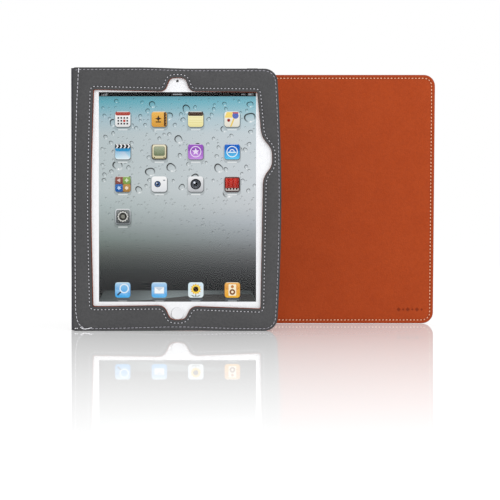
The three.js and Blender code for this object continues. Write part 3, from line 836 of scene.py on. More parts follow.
# The back: a board between a leather skin and a suede lining, with a hole for the camera.
gap = RIM + 0.05
back_board = rectangle(HOLDER_LEFT + gap, HOLDER_RIGHT - gap, gap, HEIGHT - gap, (8, 8, 8, 8))
eye_hole = circle(*CAMERA_HOLE)
eye_seam = even(shifted(even(eye_hole, 0.7), -2.6), 0.8)
rows = [(ring_seam, True), (eye_seam, True)]
back_inner = hollowed(back_board, BOARD_FRONT, surface(11.9, -1, 0.45))
back_outer = surface(BACK - 0.1, 1, 1.3, 0.3, 0.26, (0.14, 34, 8.0, 5))
back = Sheet(outline, [eye_hole], rows, back_inner, back_outer)
extra = both_sides(back_board)
back.build("back_panel", "back_skin", "grey_leather", GREY, extra=extra)
back.stitch("stitches_back", rows[0], (4.0, 2.9, 0.36), GREY_THREAD, out=1)
back.stitch("stitches_camera_hole", rows[1], (3.0, 2.1, 0.34), GREY_THREAD, out=1)
hole = circle(*CAMERA_HOLE[:2], CAMERA_HOLE[2] * 1.02)
lining_front = surface(11.1, -1, 0.3, wave=(0.05, 15, 2.0, 0))
lining = Sheet(holder_outline(0.8), [hole], [], lining_front, surface(11.75, 1, 0.3))
slot = "grey_lining"
lining.build("back_lining_sheet", "back_lining", slot, SUEDE, fill=7, rings=(0.15, 0.4))

# ---------------------------------------------------------------- the folio's cover


def mark(points):
    """A row of small lozenges pressed into the flap's lower corner, from 0 to 1."""
    pressed = np.zeros(len(points))
    for k in range(6):
        x, z = MARK[0] - fold_xy["wrap_flap"][0] + 4.6 * k, MARK[1]
        size = 2.1 if k % 2 == 0 else 1.3
        reach = np.abs(points[:, 0] - x) + np.abs(points[:, 1] - z)
        pressed = np.maximum(pressed, 1 / (1 + np.exp(np.clip((reach - size) / 0.2, -20, 20))))
    return pressed


def leaned(path, far):
    """The free edge of the flap leans out a little towards its top."""
    path = even(path, 1.5)
    path[:, 0] += (0.3 + 1.9 * path[:, 1] / HEIGHT) * ease((path[:, 0] - far + 70) / 60)
    return path


def stiff_leaf(name, length, free):
    """A leaf of the cover with its lining. The free one ends the cover, with round corners."""
    far = length if free else length - STIFF

    def trace(near, inset, sewn, square):
        """sewn is the radius at the first fold, and square the radius of corners not free."""
        round_ = CORNER - inset if free else square
        radii = (sewn, round_, round_, sewn)
        path = rectangle(STIFF + near, far - inset, inset, HEIGHT - inset, radii)
        return leaned(path, far) if free else path

    seam = (even(trace(3.4, 3.4, 0.5, 0.5), 1.0), True)
    board_far = far - (RIM if free else 2) - 0.05
    round_ = CORNER - RIM if free else 0
    radii = (0, round_, round_, 0)
    hollow = rectangle(STIFF + 2.05, board_far, RIM + 0.05, HEIGHT - RIM - 0.05, radii)

    skin = surface(0.1 - SKIN, -1, 1.15, 0.35, 0.24, (0.16, 40, len(name), 6))

    def marked(at):
        at["mark"] = mark(at["at"])
        return skin(at) + 0.34 * at["mark"]

    extra = both_sides(hollow)
    if free:
        # points close together, for the pressed mark
        x0, z0 = MARK[0] - 2.6 - fold_xy[name][0], MARK[1] - 3
        xs, zs = np.meshgrid(np.arange(x0, x0 + 28.5, 0.36), np.arange(z0, z0 + 6.1, 0.36))
        extra.append(np.stack([xs.ravel(), zs.ravel()], 1))
    where = (name, SPACES[name])
    outer, inner = marked if free else skin, hollowed(hollow, 0.52, surface(LEAF_BACK, 1, 0.5))
    panel = Sheet(trace(0.05, 0, 0.6, 0.6), [], [seam], outer, inner, *where)
    panel.build(f"{name}_panel", f"{name}_skin", "orange_leather", ORANGE, extra=extra)
    panel.stitch(f"stitches_{name}", seam, (3.45, 2.25, 0.46), CREAM_THREAD)
    sides = surface(1.84, -1, 0.2), surface(2.32, 1, 0.32, 0.14, 0.16, (0.1, 30, len(name) + 5.0, 5))
    cloth = Sheet(trace(0.5, 0.9, 0.6, 0.5), [], [seam], *sides, *where)
    cloth.build(f"{name}_lining_sheet", f"{name}_lining", "grey_lining", SUEDE)
    cloth.stitch(f"stitches_{name}_lining", seam, (3.9, 2.7, 0.34), GREY_THREAD, out=1)


stiff_leaf("front_cover", COVER_LENGTH, False)
stiff_leaf("wrap_flap", FLAP_LENGTH, True)


def way(body, at=0.0, off=0.0):
    """A point of a part of the cover, in x and y of the working frame."""
    angle = math.radians(TURNS[body])
    along = np.array([math.cos(angle), math.sin(angle)])
    across = np.array([-math.sin(angle), math.cos(angle)])
    return fold_xy[body] + along * at + across * off


def bent(first, corner, last, cut=1.3):
    """A line from first to last that rounds the corner."""
    a = corner + (first - corner) / np.hypot(*(first - corner)) * cut
    b = corner + (last - corner) / np.hypot(*(last - corner)) * cut
    t = np.array([0, 0.03, 0.08, *np.linspace(0, 1, 8)[1:-1]])[:, None]
    curve = bezier(a, corner, b, np.linspace(0, 1, 15)[:, None])
    return np.concatenate([first + (a - first) * t, curve, (last + (b - last) * t)[::-1]])


def fold_leather(name, body, first, last):
    """Leather across the fold before a body. It bends round the hinge."""
    part, hinge = name.split("_")[0], fold_xy[body]
    material, slot = SKINS[part]
    piece = ribbon(name, bent(first, hinge, last), SKIN, 0, HEIGHT, material)
    stand_in(piece, f"{part}_skin")
    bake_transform(piece)


# The spine's leather is the lighter copy of the grey: a painted highlight along the fold.
SKINS = {"spine": (GREY_FOLD_HIGHLIGHT, "grey_leather"), "gusset": (ORANGE, "orange_leather")}
at_holder = np.array([HOLDER_LEFT - 0.06, fold_xy["spine"][1]])
at_cover = way("front_cover", COVER_LENGTH - STIFF + 0.06)
spine_ends = [way("spine", SPINE_LENGTH / 2 + side * 0.03) for side in (-1, 1)]
gusset_ends = [way("gusset", GUSSET_LENGTH / 2 + side * 0.03) for side in (-1, 1)]
cover_start, flap_start = way("front_cover", STIFF), way("wrap_flap", STIFF)
fold_leather("spine_leather_inner", "spine", at_holder, spine_ends[0])
fold_leather("spine_leather_outer", "front_cover", spine_ends[1], cover_start)
fold_leather("gusset_leather_inner", "gusset", at_cover, gusset_ends[0])
fold_leather("gusset_leather_outer", "wrap_flap", gusset_ends[1], flap_start)

for body, length in (("spine", SPINE_LENGTH), ("gusset", GUSSET_LENGTH)):
    line = [way(body, x, 0.85) for x in np.linspace(STIFF + 0.15, length - STIFF - 0.15, 14)]
    strip = ribbon(f"{body}_lining_strip", line, 0.27, 0.9, HEIGHT - 0.9, SUEDE, body, edge=0.2)
    stand_in(strip, f"{body}_lining")

# ---------------------------------------------------------------- the tablet's shell and keys


def housing_ring(inset):
    radius = max(TABLET_RADIUS - inset, 0.4)
    half, low, high = TABLET_HALF - inset, TABLET_BOTTOM + inset, TABLET_TOP - inset
    return rectangle(MIDDLE - half, MIDDLE + half, low, high, (radius,) * 4, steps=12)


def shell_mesh():
    """A shell with a softly rounded back, open at the front."""
    bend, back = TABLET_BACK - EDGE_DEPTH, TABLET_BACK - WALL
    arc = np.radians(np.linspace(0, 90, 11))[1:]
    rings = [(0.16, HOUSING_FRONT), (0.0, HOUSING_FRONT + 0.16), (0.0, bend)]
    rings += [(EDGE_ROUND * (1 - math.cos(a)), bend + EDGE_DEPTH * math.sin(a)) for a in arc]
    rings += [(7.0, TABLET_BACK), (12.0, TABLET_BACK)]
    outside = len(rings)
    rings += [(12.0, back), (7.6, back)]
    rings += [(WALL + 5.6 * (1 - math.cos(a)), bend + 3.3 * math.sin(a)) for a in arc[::-1]]
    rings += [(WALL, bend), (WALL, HOUSING_FRONT)]
    verts = [(x, y, z) for inset, y in rings for x, z in housing_ring(inset)]
    size = len(housing_ring(0))
    first, last = outside * size, (len(rings) - 1) * size
    faces = band_faces(outside, size, 0, True)
    faces += band_faces(len(rings) - outside, size, first, True)
    faces += [tuple(range(first - size, first)), tuple(range(first, first + size))[::-1]]
    faces += [(last + k, k, (k + 1) % size, last + (k + 1) % size) for k in range(size)]
    return verts, faces


def housing():
    """The shell, with its slots and holes cut out."""
    shell = solid("tablet_housing", *shell_mesh(), SILVER, None, mixed=True)
    edge, y = (TABLET_RIGHT - 3, TABLET_RIGHT + 3), (KEY_DEPTH - 1.45, KEY_DEPTH + 1.45)
    port = (TABLET_BOTTOM - 3, TABLET_BOTTOM + 3)
    slots = [
        ((MIDDLE + 64.6, MIDDLE + 76), y, (TABLET_TOP - 4, TABLET_TOP + 3)),
        (edge, y, (179.1, 200.9)),
        (edge, y, (208.0, 216.4)),
        ((MIDDLE - 10.8, MIDDLE + 10.8), (5.6, 8.2), port),
    ]
    tools = [pill(f"tool_{i}", *slot, SILVER, None, 0.9) for i, slot in enumerate(slots)]
    rods = [((MIDDLE - 74, KEY_DEPTH, TABLET_TOP), 2.6, 0, 9)]
    rods += [((MIDDLE + 46 + 5 * i, KEY_DEPTH, TABLET_BOTTOM), 0.6, 0, 5) for i in range(6)]
    rods += [((CAMERA_HOLE[0], TABLET_BACK, CAMERA_HOLE[1]), 3.3, 90, 5)]
    for at, radius, turn, long in rods:
        bpy.ops.mesh.primitive_cylinder_add(vertices=32, radius=radius, depth=long)
        rod = bpy.context.object
        spin = Matrix.Rotation(math.radians(turn), 4, "X")
        rod.data.transform(HOME @ Matrix.Translation(at) @ spin)
        tools.append(rod)
    for tool in tools:
        cut = shell.modifiers.new(tool.name, "BOOLEAN")
        cut.operation, cut.solver, cut.object = "DIFFERENCE", "EXACT", tool
    graph = bpy.context.evaluated_depsgraph_get()
    made = bpy.data.meshes.new_from_object(shell.evaluated_get(graph))
    shell.modifiers.clear()
    shell.data = made
    for tool in tools:
        bpy.data.objects.remove(tool)
    soften(made, 32)
    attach(shell, "tablet")
    stand_in(shell, "rear_housing")


housing()
HOME_Y = GLASS_FRONT + 0.15
profile = [(r, HOME_Y + 0.42 * (1 - (r / 4.9) ** 2)) for r in (0.3, 1, 2, 3, 3.9, 4.5, 4.9)]
profile += [(5.3, HOME_Y - 0.02), (5.62, HOME_Y + 0.03), (5.78, HOME_Y + 0.14)]
profile += [(5.86, HOME_Y + 0.4), (5.86, HOME_Y + 1.3)]
profile += [(r, HOME_Y + 1.55) for r in (5.5, 2.0, 0.3)]
stand_in(lathe("home_key", profile, *HOME_KEY, KEY_WHITE, "home_button"), "home_button")
out = TABLET_RIGHT + 0.5
key_y = (KEY_DEPTH - 1.1, KEY_DEPTH + 1.1)
KEYS = {
    "power_button": ((MIDDLE + 65, MIDDLE + 75.6), (TABLET_TOP - 2.1, TABLET_TOP + 0.5)),
    "volume_rocker": ((out - 2.4, out), (179.5, 200.5)),
    "side_switch": ((out - 2.4, out), (210.0, 216.0)),
}
for name, (x, z) in KEYS.items():
    key = pill(f"{name}_cap", x, key_y, z, BLACK, name, 0.7, steps=4)
    stand_in(key, name)

# ---------------------------------------------------------------- the display

SIZE = 14.4  # the side of an icon
APP_STEP, APP_DROP, APP_TOP = 34.25, 30.5, 199
DOCK_STEP, DOCK_Z, DOCK_TOP = 34.4, 38.4, 38
# The wallpaper's colours on the left and on the right, at a height.
SKY = (
    (27, (28, 29, 30), (32, 33, 34)),
    (42, (38, 39, 40), (42, 43, 44)),
    (57, (56, 59, 59), (68, 69, 71)),
    (72, (86, 91, 88), (105, 107, 109)),
    (87, (122, 134, 130), (147, 152, 156)),
    (102, (152, 162, 161), (176, 182, 188)),
    (117, (170, 182, 182), (198, 202, 206)),
    (132, (185, 195, 196), (205, 210, 214)),
    (185, (184, 196, 199), (202, 211, 216)),
    (200, (166, 191, 201), (184, 205, 213)),
    (216, (100, 168, 182), (122, 184, 200)),
    (224.5, (84, 132, 146), (100, 148, 164)),
)


def sky(x, z):
    heights = [row[0] for row in SKY]
    share = (x - DISPLAY[0]) / (DISPLAY[1] - DISPLAY[0])
    made = []
    for k in range(3):
        left, right = (np.interp(z, heights, [row[side][k] for row in SKY]) for side in (1, 2))
        made.append(float(left + (right - left) * share))
    return tuple(made)


def toned(base, amount):
    """Lighter for a positive amount, darker for a negative one."""
    goal = 255 if amount > 0 else 0
    return tuple(c + (goal - c) * abs(amount) for c in base)


def toned_sky(amount):
    return lambda x, z: toned(sky(x, z), amount)


class Canvas:
    """Flat coloured shapes in thin layers under the glass, in mm from a middle. Colours are from
    0 to 255, or a function of the place on the display."""

    def __init__(self, x=0.0, z=0.0):
        self.x, self.z = x, z
        self.verts, self.faces, self.tints = [], [], []

    def point(self, x, z, layer, colour):
        x, z = self.x + x, self.z + z
        self.verts.append((x, DISPLAY_Y - LAYER * layer, z))
        self.tints.append(linear(colour(x, z) if callable(colour) else colour))

    def shape(self, points, layer, colour):
        base = len(self.verts)
        for x, z in points:
            self.point(x, z, layer, colour)
        self.faces.append(tuple(range(base, base + len(points))))

    def block(self, x, z, w, h, r, layer, colour):
        r = max(min(r, w / 2 - 0.01, h / 2 - 0.01), 0.02)
        a, b = w / 2 - r, h / 2 - r
        corners = ((a, b, 0), (-a, b, 90), (-a, -b, 180), (a, -b, 270))
        path = [turn_corner(x + dx, z + dz, r, start, 6) for dx, dz, start in corners]
        self.shape(np.concatenate(path), layer, colour)

    def disc(self, x, z, r, layer, colour, sides=28):
        self.shape(circle(x, z, r, sides), layer, colour)

    def ring(self, x, z, r0, r1, layer, colour, end=360):
        turns = np.radians(np.linspace(0, end, 29))
        for a, b in zip(turns, turns[1:]):
            quad = [(r1, a), (r1, b), (r0, b), (r0, a)]
            self.shape([(x + r * math.cos(t), z + r * math.sin(t)) for r, t in quad], layer, colour)

    def star(self, x, z, r, waist, points, layer, colour, turn=90):
        a = np.radians(turn + np.arange(2 * points) * 180 / points)
        reach = np.where(np.arange(2 * points) % 2 == 0, r, waist)
        rim = np.stack([x + reach * np.cos(a), z + reach * np.sin(a)], 1)
        for i in range(len(rim)):
            self.shape([(x, z), rim[i], rim[(i + 1) % len(rim)]], layer, colour)

    def drop(self, x, z, r):
        """A drop of rain, shaded by how far out and how high on it each point is."""
        strength = 1.0 if r > 1.2 else 0.75
        rings = (0.0, 0.5, 0.68, 0.79, 0.93, 1.0)
        turns = np.linspace(0, 2 * math.pi, 11 + int(3 * r))
        for low, high in zip(rings, rings[1:]):
            for a, b in zip(turns, turns[1:]):
                base = len(self.verts)
                for share, t in ((low, a), (high, a), (high, b), (low, b)):
                    reach = r * share * (1 + 0.1 * math.sin(2 * t + x) + 0.05 * math.sin(3 * t + z))
                    up = math.sin(t - 0.4)
                    rim = min(max(1.4 - abs(share - 0.86) / 0.13, 0), 1) * strength
                    glint = -rim * (0.52 + 0.42 * up) if up > -0.75 else -0.34 * rim * up
                    amount = max(min(glint - 0.1 * strength * up * share, 0.75), -0.8)
                    at = (x + reach * math.cos(t), z + reach * math.sin(t))
                    self.point(*at, 0, toned_sky(amount))
                self.faces.append((base, base + 1, base + 2, base + 3))
        if r > 1.2:
            bright = toned(sky(x, z), 0.85)
            self.disc(x + r * 0.15, z - r * 0.72, r * 0.15, 1, bright, 10)

    def fade(self, top, bottom, up=0.0, middle=None):
        """From one colour to another over an icon's height, about a point up from the middle."""
        stops = (bottom, middle or tuple((a + b) / 2 for a, b in zip(top, bottom)), top)
        heights = [self.z + up + step * SIZE / 2 for step in (-1, 0, 1)]
        return lambda x, z: tuple(float(np.interp(z, heights, s)) for s in zip(*stops))

    def plate(self, top, bottom, middle=None):
        """An icon's rounded square, with its shadow."""
        self.block(0.25, -0.7, SIZE + 0.7, SIZE + 0.5, 3, 2, toned_sky(-0.42))
        self.block(0, 0, SIZE, SIZE, 2.6, 3, self.fade(top, bottom, 0, middle))
        if middle:
            upper = self.fade(top, middle, 2)
            self.block(0, SIZE / 4 + 0.1, SIZE - 0.3, SIZE / 2 - 0.3, 2.2, 4, upper)

    def finish(self, name):
        data = bpy.data.meshes.new(name)
        data.from_pydata(self.verts, [], self.faces)
        tint = data.attributes.new("tint", "FLOAT_COLOR", "POINT")
        tint.data.foreach_set("color", np.asarray(self.tints, np.float32).ravel())
        place(name, data, LIT, "tablet")


wall = Canvas()
xs = np.linspace(DISPLAY[0] - 0.4, DISPLAY[1] + 0.4, 9)
zs = np.linspace(DISPLAY[2] - 0.4, DISPLAY[3] + 0.4, 67)
for x0, x1 in zip(xs, xs[1:]):
    for z0, z1 in zip(zs, zs[1:]):
        wall.shape([(x0, z0), (x1, z0), (x1, z1), (x0, z1)], -1, sky)
wall.finish("display_wallpaper")

LARGE, MEDIUM, DROPS = 20, 100, 560  # how many drops there are down to a size
rain = Canvas()
dice = random.Random(11)
drops = []
while len(drops) < DROPS:
    n = len(drops)
    span = (3.0, 5.2) if n < LARGE else (1.25, 2.3) if n < MEDIUM else (0.35, 1.1)
    r = dice.uniform(*span)
    x = dice.uniform(DISPLAY[0] + r, DISPLAY[1] - r)
    z = dice.uniform(130 if n < MEDIUM else 62, 219 - r)
    if all(math.hypot(x - a, z - b) > r + c + 0.3 for a, b, c in drops):
        drops.append((x, z, r))
for drop in drops:
    rain.drop(*drop)
rain.finish("display_raindrops")

bar = Canvas()
left, right = DISPLAY[0] - 0.3, DISPLAY[1] + 0.3
BAR, BAR_Z = (150, 154, 158), 222.3
bar.shape([(left, 220.4), (right, 220.4), (right, 224.7), (left, 224.7)], 2, (14, 15, 16))
for i in range(4):
    bar.block(DISPLAY[0] + 3 + i * 1.5, 221.5 + 0.25 * i, 0.8, 1.0 + 0.5 * i, 0.1, 3, BAR)
bar.block(MIDDLE, BAR_Z, 9, 1.0, 0.4, 3, BAR)
bar.block(DISPLAY[1] - 5, BAR_Z, 4.6, 1.7, 0.3, 3, BAR)
bar.block(DISPLAY[1] - 5, BAR_Z, 4.0, 1.1, 0.2, 4, (24, 26, 28))
bar.block(DISPLAY[1] - 5.6, BAR_Z, 2.6, 0.8, 0.15, 5, BAR)
bar.block(DISPLAY[1] - 12, BAR_Z, 4, 0.9, 0.4, 3, (120, 124, 128))
# the shelf for the lower row, with a gloss whose lower edge rises to the right
low, high = DISPLAY[2] - 0.3, DOCK_TOP


def shelf(x, z):
    return (48 + 1.4 * (high - z) + 17 * bell(x / 47),) * 3


def shine(x, z):
    level = (62 + 58 * bell(x / 47)) * (0.92 + 0.03 * (high - z))
    return 0.95 * level, 1.02 * level, 1.03 * level


def roof(x):
    return low + (high - low) * min(1, (x - left) / 4, (right - x) / 4)


def gloss_edge(x):
    at = (left, MIDDLE - 26, MIDDLE + 2, MIDDLE + 26, right)
    return min(float(np.interp(x, at, (low, 29, 32, 34.3, 34.6))), roof(x) - 0.05)


ends = np.linspace(left + 0.2, right - 0.2, 31)
for a, b in zip(ends, ends[1:]):
    bar.shape([(a, low), (b, low), (b, roof(b)), (a, roof(a))], 2, shelf)
    bar.shape([(a, gloss_edge(a)), (b, gloss_edge(b)), (b, roof(b)), (a, roof(a))], 2.5, shine)
bar.finish("display_bars")


def calendar(c):
    c.plate((252, 252, 252), (226, 226, 226))
    c.block(0, 5.3, SIZE - 0.4, 3.6, 1.6, 4, c.fade((196, 104, 92), (150, 44, 36), 5))
    for i in range(4):
        for j in range(3):
            c.block(-4.2 + 2.8 * i, 1.2 - 2.7 * j, 1.6, 1.6, 0.2, 4, (44, 44, 48))
    c.block(1.4, -1.5, 2.2, 2.2, 0.3, 5, (196, 60, 48))


def book(c):
    c.plate((240, 186, 92), (214, 154, 60))
    c.block(5.6, 0, 2.4, SIZE - 1.2, 0.5, 4, (86, 58, 34))
    for k in range(5):
        c.block(6.6, 5.2 - 2.6 * k, 1.2, 1.3, 0.2, 5, (190, 146, 84))
    c.star(-0.8, 0.6, 3.0, 1.3, 4, 4, (58, 38, 22))
    c.block(-0.8, -2.6, 5.2, 1.0, 0.4, 5, (58, 38, 22))


def pad(c):
    c.plate((252, 246, 200), (240, 230, 164))
    c.block(0, 5.1, SIZE - 0.1, 4.0, 1.4, 4, c.fade((92, 70, 56), (56, 42, 34), 5))
    for k in range(4):
        c.block(0, 1.4 - 2.3 * k, SIZE - 1.6, 0.3, 0.1, 4, (222, 208, 140))


def chart(c):
    c.plate((248, 246, 238), (230, 226, 210))
    c.shape([(-7, 1.4), (0.4, 1.4), (0.4, 7), (-5, 7)], 4, (246, 218, 120))
    c.shape([(-2, -7), (-0.6, -7), (2.6, 1), (1.2, 1)], 4, (236, 202, 96))
    c.disc(3.2, 3.4, 3.0, 5, (92, 112, 188))
    c.block(3.2, 6, 5.6, 1.4, 0.4, 6, (188, 84, 92))
    c.disc(-3.2, -1.0, 1.5, 6, (150, 40, 40))


def slate(c):
    c.plate((24, 120, 180), (238, 246, 250), (70, 170, 214))
    c.block(0, 5.2, SIZE, 4.2, 1.2, 5, (24, 24, 26))
    for k in range(4):
        for low, high, slant in ((3.2, 5.2, 1.2), (5.2, 7.2, -1.2)):
            near = 3.6 * k - (6.6 if slant > 0 else 5.4)
            far = near + 1.4
            corners = [(near, low), (far, low), (far + slant, high), (near + slant, high)]
            c.shape(corners, 6, (238, 238, 240))


def screen(c):
    c.plate((112, 98, 72), (64, 52, 34))
    c.block(0, 0, SIZE - 1.7, SIZE - 1.7, 1.8, 4, c.fade((240, 234, 206), (206, 196, 158)))
    c.block(0, 0.5, 10.4, 8.8, 1.6, 5, (92, 98, 76))
    picture = c.fade((192, 200, 178), (98, 112, 82), 0, (124, 136, 104))
    c.block(0, 0.5, 9.8, 8.2, 1.4, 6, picture)
    for side in (-1, 1):
        c.disc(4.6 * side, -5.5, 0.6, 6, (40, 32, 20))


def star_badge(c):
    rim = (236, 220, 246)
    c.plate((166, 104, 202), (204, 150, 230), (118, 44, 158))
    c.ring(0, 0, 4.5, 5.3, 5, rim)
    c.star(0, 0, 3.6, 1.6, 5, 5, rim)


def wheel_badge(c):
    rim = (236, 246, 252)
    c.plate((30, 96, 190), (96, 206, 246), (24, 116, 212))
    c.ring(0, 0, 4.5, 5.3, 5, rim)
    c.ring(0, 0, 1.6, 2.4, 5, rim, 180)
    c.block(0, -0.6, 7.6, 0.9, 0.3, 6, rim)


def quarters(c):
    c.plate((120, 90, 70), (96, 76, 60))
    tones = ((122, 50, 38), (116, 154, 56), (34, 104, 190), (196, 142, 66))
    for k, tone in enumerate(tones):
        at = (-3.6 + 7.2 * (k % 2), 3.6 - 7.2 * (k // 2))
        c.block(*at, 7.2, 7.2, 1.7, 4, c.fade(toned(tone, 0.2), toned(tone, -0.15)))
        c.star(*at, 2.1, 1.2, 3 + k, 5, toned(tone, 0.7), 60 + 30 * k)


def lens(c, rim, glass, size, x=0.0):
    c.disc(x, 0, size, 4, rim)
    c.disc(x, 0, size * 0.8, 5, c.fade(glass, toned(glass, 0.35)))
    c.disc(x, 0, size * 0.36, 6, (8, 10, 14))
    c.disc(x - size * 0.24, size * 0.28, size * 0.2, 7, (226, 232, 242))


def small_camera(c):
    c.plate((250, 250, 250), (222, 224, 228))
    lens(c, (36, 44, 60), (30, 60, 110), 3.0, -1.6)
    c.block(4.6, 3.6, 2.2, 1.2, 0.4, 5, (150, 154, 160))


def big_camera(c):
    c.plate((240, 241, 243), (186, 188, 192))
    lens(c, (22, 24, 28), (34, 38, 46), 5.0)


def curtain(c):
    c.plate((92, 40, 36), (60, 26, 24))
    for k in range(6):
        tone = (214, 62, 50) if k % 2 == 0 else (184, 40, 32)
        c.block(-5.1 + 2.04 * k, 0.8, 2.1, 9.4, 0.2, 4, c.fade(tone, toned(tone, -0.25)))
    c.block(0, -4.9, 12.2, 2.4, 0.4, 5, (206, 200, 196))
    for k in range(4):
        c.disc(-4.4 + 2.9 * k, -4.4, 1.0, 6, (70, 40, 38))


def gear(c):
    c.plate((222, 226, 230), (150, 156, 160))
    c.block(0.1, -0.1, SIZE - 1.3, SIZE - 1.3, 2.1, 4, c.fade((138, 142, 142), (70, 74, 76)))
    c.star(0, 0, 6.2, 5.0, 12, 5, (40, 40, 38))
    c.star(0, 0, 5.4, 4.4, 12, 6, (206, 206, 202))
    c.disc(0, 0, 3.7, 7, (48, 48, 44))
    c.disc(0, 0, 1.9, 8, (128, 128, 120))


def search(c):
    c.plate((206, 232, 248), (70, 176, 238), (40, 128, 208))
    c.shape([(-5.4, -4.4), (-4.4, -5.4), (-0.8, -1.8), (-1.8, -0.8)], 5, (52, 60, 76))
    c.ring(1.4, 1.4, 3.3, 4.5, 6, (226, 236, 246))
    c.disc(1.4, 1.4, 3.3, 6, c.fade((150, 206, 242), (62, 150, 222)))


def envelope(c):
    c.plate((206, 230, 248), (96, 184, 240), (58, 142, 220))
    c.block(0, -0.2, 9.4, 6.6, 0.6, 5, (160, 186, 210))
    c.block(0, -0.2, 8.9, 6.1, 0.5, 6, (246, 248, 250))
    c.shape([(-4.2, 2.6), (0, -0.8), (4.2, 2.6)], 7, (206, 216, 228))


def flower(c):
    c.plate((214, 234, 246), (228, 238, 240))
    c.block(0, -4, 0.7, 5, 0.2, 4, (48, 62, 40))
    for side in (-1, 1):
        c.shape([(0, -6), (4.8 * side, -4.6), (2.4 * side, -6.2)][::side], 4, (54, 66, 44))
    c.star(0, 0.8, 5.4, 3.8, 12, 5, (238, 188, 58))
    c.star(0, 0.8, 4.4, 3.4, 12, 6, (250, 214, 84), 75)
    c.disc(0, 0.8, 2.5, 7, (46, 28, 16))


def speaker(c):
    c.plate((246, 196, 110), (244, 186, 62), (206, 116, 26))
    c.block(0, 0, 7.2, 10.8, 0.8, 5, (250, 236, 208))
    c.disc(0, 3.1, 1.4, 6, (196, 122, 48))
    c.disc(0, -1.9, 2.7, 6, (128, 72, 22))
    c.disc(0, -1.9, 1.2, 7, (250, 236, 208))


APPS = (calendar, book, pad, chart, slate, screen, star_badge, wheel_badge, quarters)
APPS += (small_camera, big_camera, curtain, gear)
DOCK = (search, envelope, flower, speaker)


def icon(x, z, draw):
    """An icon with a glint along its top."""
    made = Canvas(x, z)
    draw(made)
    made.block(0, SIZE / 2 - 0.32, SIZE - 3.4, 0.3, 0.1, 8, (250, 250, 250))
    return made


for n, draw in enumerate(APPS):
    made = icon(MIDDLE + (n % 4 - 1.5) * APP_STEP, APP_TOP - APP_DROP * (n // 4), draw)
    made.block(0, -1.8, SIZE + 2.4, SIZE + 3.2, 3.4, 1, toned_sky(-0.1))
    made.block(0, -SIZE / 2 - 2.7, 9.0, 0.9, 0.4, 3, toned_sky(0.6))
    made.finish(f"display_icon_{n + 1:02d}")
for n, draw in enumerate(DOCK):
    made = icon(MIDDLE + (n - 1.5) * DOCK_STEP, DOCK_Z, draw)
    made.block(0, -SIZE / 2 - 1.7, SIZE - 1.5, 2.0, 0.6, 3, (88, 94, 100))
    made.block(0, -SIZE / 2 - 3.1, 8.5, 0.9, 0.4, 5, (150, 152, 154))
    made.finish(f"display_dock_{n + 1}")

# ---------------------------------------------------------------- the CAD's own pieces

SCREWS = [f"display_screw_{i}" for i in (1, 2, 3, 4)]
SWITCHES = ["home_switch", "power_switch", "volume_switch", "slider_switch"]
KEPT = {
    BOARD: ("back_board", "front_cover_board", "wrap_flap_board"),
    CLEAR: ("cover_glass",),
    WHITE: ("glass_border",),
    RUBBER: ("bezel_gasket",),
    PANEL: ("lcd_panel",),
    STEEL: ("lcd_backplate", *SCREWS, "shield_can", "charging_port"),
    CELL: ("battery_left", "battery_middle", "battery_right"),
    CIRCUIT: ("logic_board",),
    FLEX: ("display_ribbon", "battery_ribbon"),
    LENS: ("front_camera", "rear_camera_window"),
    BLACK: ("headphone_jack", "rear_camera", "speaker_module", "wifi_antenna", *SWITCHES),
}
for material, names in KEPT.items():
    for name in names:
        data = frame["nodes"][name].data
        data.materials.clear()
        data.materials.append(material)

# ---------------------------------------------------------------- floor, light and camera


FADE_FROM, FADE_TO = 0.08, 1.45  # m from the middle, where the floor's mirror fades
CAMERA_AT, CAMERA_DOWN = (70.4, -2525, 124), 1.087  # mm and degrees


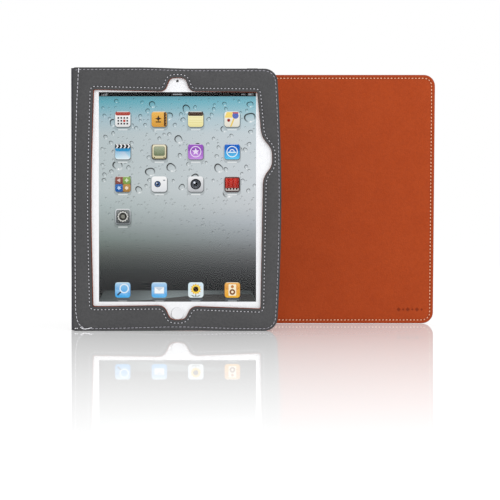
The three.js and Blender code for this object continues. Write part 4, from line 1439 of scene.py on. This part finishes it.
def floor():
    """A pale glossy floor. Its mirror fades away from the object."""
    bpy.ops.mesh.primitive_plane_add(size=40)
    plane = bpy.context.object
    plane.name = "studio_floor"
    plane.location.z = -0.00015
    p = Paint("pale_floor")
    away = p.node("VectorMath", "Value", {"operation": "LENGTH"}, i0=p.node("TexCoord", "Object"))
    near = p.math("POWER", p.range(away, FADE_FROM, FADE_TO, 1.0, 0.0), 0.8)
    grazing = p.range(p.node("LayerWeight", "Facing", i0=0.5), 0.2, 0.97, 0.1, 0.57)
    glow = p.node("Emission", i0=(1, 1, 1, 1), i1=0.62)
    pale = p.node("AddShader", i0=glow, i1=p.node("BsdfDiffuse", i0=(0.38, 0.38, 0.38, 1)))
    gloss = p.node("BsdfGlossy", i0=(1, 1, 1, 1), i1=0.012)
    mixed = p.node("MixShader", i0=p.math("MULTIPLY", near, grazing), i1=pale, i2=gloss)
    p.node("OutputMaterial", i0=mixed)
    plane.data.materials.append(p.material)


floor()


def softbox(name, spot, aim, size, power):
    light = bpy.data.lights.new(name, "AREA")
    light.shape, light.size, light.size_y = "RECTANGLE", size[0], size[1]
    light.energy = power
    lamp = bpy.data.objects.new(name, light)
    bpy.context.scene.collection.objects.link(lamp)
    lamp.location = HOME @ Vector(spot)
    way_to = HOME @ Vector(aim) - lamp.location
    lamp.rotation_euler = way_to.to_track_quat("-Z", "Y").to_euler()


softbox("key_light", (600, -1500, 1400), (60, 60, 120), (1.4, 1.0), 13)
softbox("fill_light", (1300, -900, 700), (100, 60, 100), (1.0, 1.0), 3.5)
softbox("back_light", (-300, 1700, 1100), (60, 80, 120), (1.6, 1.0), 6)

world = bpy.data.worlds.new("studio")
world.use_nodes = True
world.node_tree.nodes["Background"].inputs[0].default_value = (1, 1, 1, 1)
world.node_tree.nodes["Background"].inputs[1].default_value = 1.0
bpy.context.scene.world = world
bpy.context.scene.view_settings.view_transform = "Standard"
bpy.context.scene.view_settings.look = "None"

camera_data = bpy.data.cameras.new("camera")
camera_data.lens, camera_data.sensor_width = 193.5, 36
camera_data.clip_end = 100
camera = bpy.data.objects.new("camera", camera_data)
bpy.context.scene.collection.objects.link(camera)
camera.location = HOME @ Vector(CAMERA_AT)
camera.rotation_euler = (math.radians(90 - CAMERA_DOWN), 0, 0)
bpy.context.scene.camera = camera
